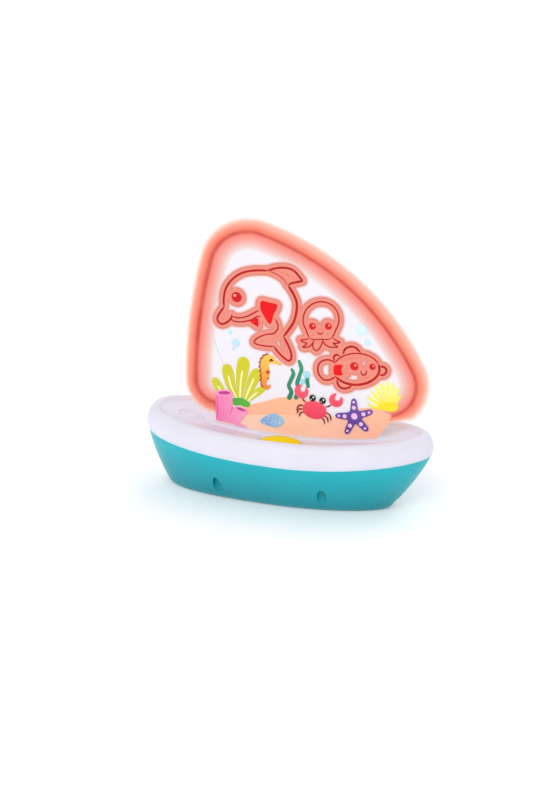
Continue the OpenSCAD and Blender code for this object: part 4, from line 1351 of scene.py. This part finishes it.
def starfish():
    plates("starfish_print", [star_outline()],
           ink("starfish_ink", (92, 58, 152), (116, 78, 166), "Z", (60, 92)), lift=0.9, thick=0.5, soft=0.9)
    dots = [(0, 0.6, 2.8)]
    for turn, reach in STAR_ARMS:
        t = math.radians(turn)
        for share, r in ((0.5, 1.8), (0.8, 1.15)):
            dots.append((reach * share * math.cos(t), reach * share * math.sin(t), r))
    on_sail = [(*placed(STAR, [(u, v)])[0], r) for u, v, r in dots]
    domes("starfish_dots", on_sail, ink("starfish_dot_ink", (240, 198, 238)), lift=1.3, rise=0.22)


def anemone():
    fronds = []
    for tip, bend in (((67, 86.5), (74, 85)), ((66, 93), (74.5, 89)), ((69.4, 98.4), (76, 92)),
                      ((72.6, 103.6), (78, 94)), ((77.4, 106.6), (81, 95)), ((82.6, 108.8), (83.4, 96)),
                      ((87.6, 108), (86.2, 96)), ((91.6, 104.4), (88.4, 94)), ((93.4, 98.4), (89.6, 90.6))):
        root = (84 + 0.12 * (tip[0] - 84), 84.5)
        fronds.append((smooth([root, bend, tip]), 2.1))
        x, z = ((a + 2 * b) / 3 for a, b in zip(bend, tip))
        fronds.append((smooth([bend, (x - 1.4, z + 0.4), (x - 2.6, z + 3.2)]), 1.2))
    yellow = ink("anemone_ink", (248, 230, 30), (253, 247, 136), "Z", (84, 106))
    ribbons("anemone_fronds", fronds, yellow, lift=0.4, height=0.3)
    fan = smooth([(74, 85.4), (68.6, 91), (72.4, 97.6), (77.4, 102.6), (83, 104.2), (88, 102.6), (91, 97),
                  (90.6, 89), (84, 84.6)], 5, closed=True)
    plates("anemone_fan", [fan], ink("anemone_fan_ink", (253, 250, 176)), lift=0.12, thick=0.2, soft=0.6)
    lobe = smooth([(76, 87.6), (80, 90.4), (85, 90.8), (90.2, 90.6), (91.8, 88.2), (90.2, 85), (86, 83.2),
                   (80, 83.8), (76, 84.6)], 5, closed=True)
    plates("anemone_base", [lobe], ink("anemone_base_ink", (250, 228, 20), (252, 222, 40), "X", (76, 92)),
           lift=0.6, thick=0.4, soft=0.8)


def water_line():
    """Faint curved line behind the coral."""
    path = smooth([(-64.5, 141.3), (-63.4, 132), (-60.4, 121.6), (-57, 112), (-53.9, 106)])
    ribbons("water_line_print", [(path, 0.5)], ink("water_line_ink", (206, 208, 218)), height=0.12)


def shell_and_bubbles():
    leaf = smooth([(-23.9, 62), (-20.4, 65), (-16.7, 67.8), (-12, 69.6), (-7.2, 68.6), (-2.7, 64.8),
                   (-5.6, 59.9), (-10.8, 57.6), (-16.7, 58.6), (-21.6, 60)], 5, closed=True)
    plates("shell_print", [leaf], ink("shell_ink", (122, 176, 232), (166, 208, 244), "X", (-24, -2),
                                      spots=(420, 0.35, (196, 222, 248))), lift=0.4, thick=0.35, soft=0.8)
    water = ink("bubble_ink", (150, 214, 232), (216, 242, 248), "Z", (98, 152), rough=(0.1, 0.2), coat=0.8)
    domes("bubble_prints", [(60.6, 148.4, 4.5), (65.6, 138.8, 2.5), (-43.7, 126.4, 3.4), (-48.6, 135, 2),
                            (-45.6, 121, 1.1), (16, 106, 3.2), (12.6, 100, 2.4)], water, lift=0.3, rise=0.5)


# ---- CAD nodes that stay, with their materials ----
NODE_LOOKS = {
    "screw": ("hull_screws", "clamp_screws", "led_board_screws", "board_screws", "retainer_screws",
              "box_screws", "door_screws", "ballast_screws"),
    "silicone": ("slot_gasket", "button_seal"),
    "rubber": ("door_gasket",),
    "white": ("sail_clamp_front", "sail_clamp_rear", "button_retainer", "battery_box"),
    "board": ("led_board", "control_board"),
    "lens": ("leds",),
    "black": ("board_components", "switch_body"),
    "plunger": ("switch_plunger",),
    "spring": ("button_spring", "battery_contacts", "battery_springs"),
    "cell": ("batteries",),
    "teal": ("battery_door",),
    "ballast": ("ballast_weights",),
    "wire": ("battery_lead", "led_lead"),
}


def dress_cad_nodes():
    for look, names in NODE_LOOKS.items():
        for name in names:
            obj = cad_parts[name]
            if not obj.material_slots:
                obj.data.materials.append(LOOK[look])
            for material_slot in obj.material_slots:
                material_slot.material = LOOK[look]


# ---- Camera, floor and light ----
CAMERA_AZIMUTH = 18.37
CAMERA_ELEVATION = 21.85
CAMERA_DISTANCE = 1.5
CAMERA_LENS = 83.7
CAMERA_SHIFT = (-0.0275, 0.0295)
FLOOR_REACH = 12000
FLOOR_GLOW = 0.14
SKY_COLOUR = (0.97, 0.98, 1, 1)
SKY_STRENGTH = 0.73
# Direction that each sun stands in, its strength and its spread in degrees
SUNS = {"key": ((-0.12, -1.0, 0.85), 0.92, 45), "back": ((0.3, 0.9, 0.9), 0.52, 60)}


def camera():
    eye = bpy.data.objects.new("camera", bpy.data.cameras.new("camera"))
    bpy.context.scene.collection.objects.link(eye)
    target = Vector((0, 0, CROWN_Z * MM))
    azimuth, elevation = math.radians(CAMERA_AZIMUTH), math.radians(CAMERA_ELEVATION)
    level = math.cos(elevation)
    heading = Vector((math.sin(azimuth) * level, -math.cos(azimuth) * level, math.sin(elevation)))
    eye.location = target + CAMERA_DISTANCE * heading
    eye.rotation_euler = (target - eye.location).to_track_quat("-Z", "Y").to_euler()
    eye.data.lens = CAMERA_LENS
    eye.data.sensor_width = 36
    eye.data.shift_x, eye.data.shift_y = CAMERA_SHIFT
    eye.data.dof.use_dof = False
    bpy.context.scene.camera = eye


def paper_floor():
    corners = [(sx * FLOOR_REACH, sy * FLOOR_REACH, 0) for sx, sy in ((-1, -1), (1, -1), (1, 1), (-1, 1))]
    floor = new_object("floor", corners, [(0, 1, 2, 3)])
    paper = Nodes("floor_paper")
    paper.colour(mottled(paper, (252, 252, 253), 0.006, 6))
    paper.roughness(0.85, 0.95, 30)
    paper.set(Emission_Color=(1, 1, 1, 1), Emission_Strength=FLOOR_GLOW)
    floor.data.materials.append(paper.material)


def light():
    world = bpy.data.worlds.new("studio")
    bpy.context.scene.world = world
    world.use_nodes = True
    background = world.node_tree.nodes["Background"]
    background.inputs["Color"].default_value = SKY_COLOUR
    background.inputs["Strength"].default_value = SKY_STRENGTH
    for name, (heading, strength, spread) in SUNS.items():
        sun = bpy.data.lights.new(name, "SUN")
        sun.energy = strength
        sun.angle = math.radians(spread)
        holder = bpy.data.objects.new(name, sun)
        bpy.context.scene.collection.objects.link(holder)
        holder.location = heading
        holder.rotation_euler = Vector(heading).to_track_quat("Z", "Y").to_euler()
    bpy.context.scene.view_settings.view_transform = "Standard"


camera()
paper_floor()
light()
lower_hull()
deck_shell()
seam_seal()
deck_mark()
button()
sail_rim()
sail_panel(engraved_figures())
sand()
coral()
sponge()
seahorse()
seaweed()
crab()
starfish()
anemone()
water_line()
shell_and_bubbles()
dress_cad_nodes()
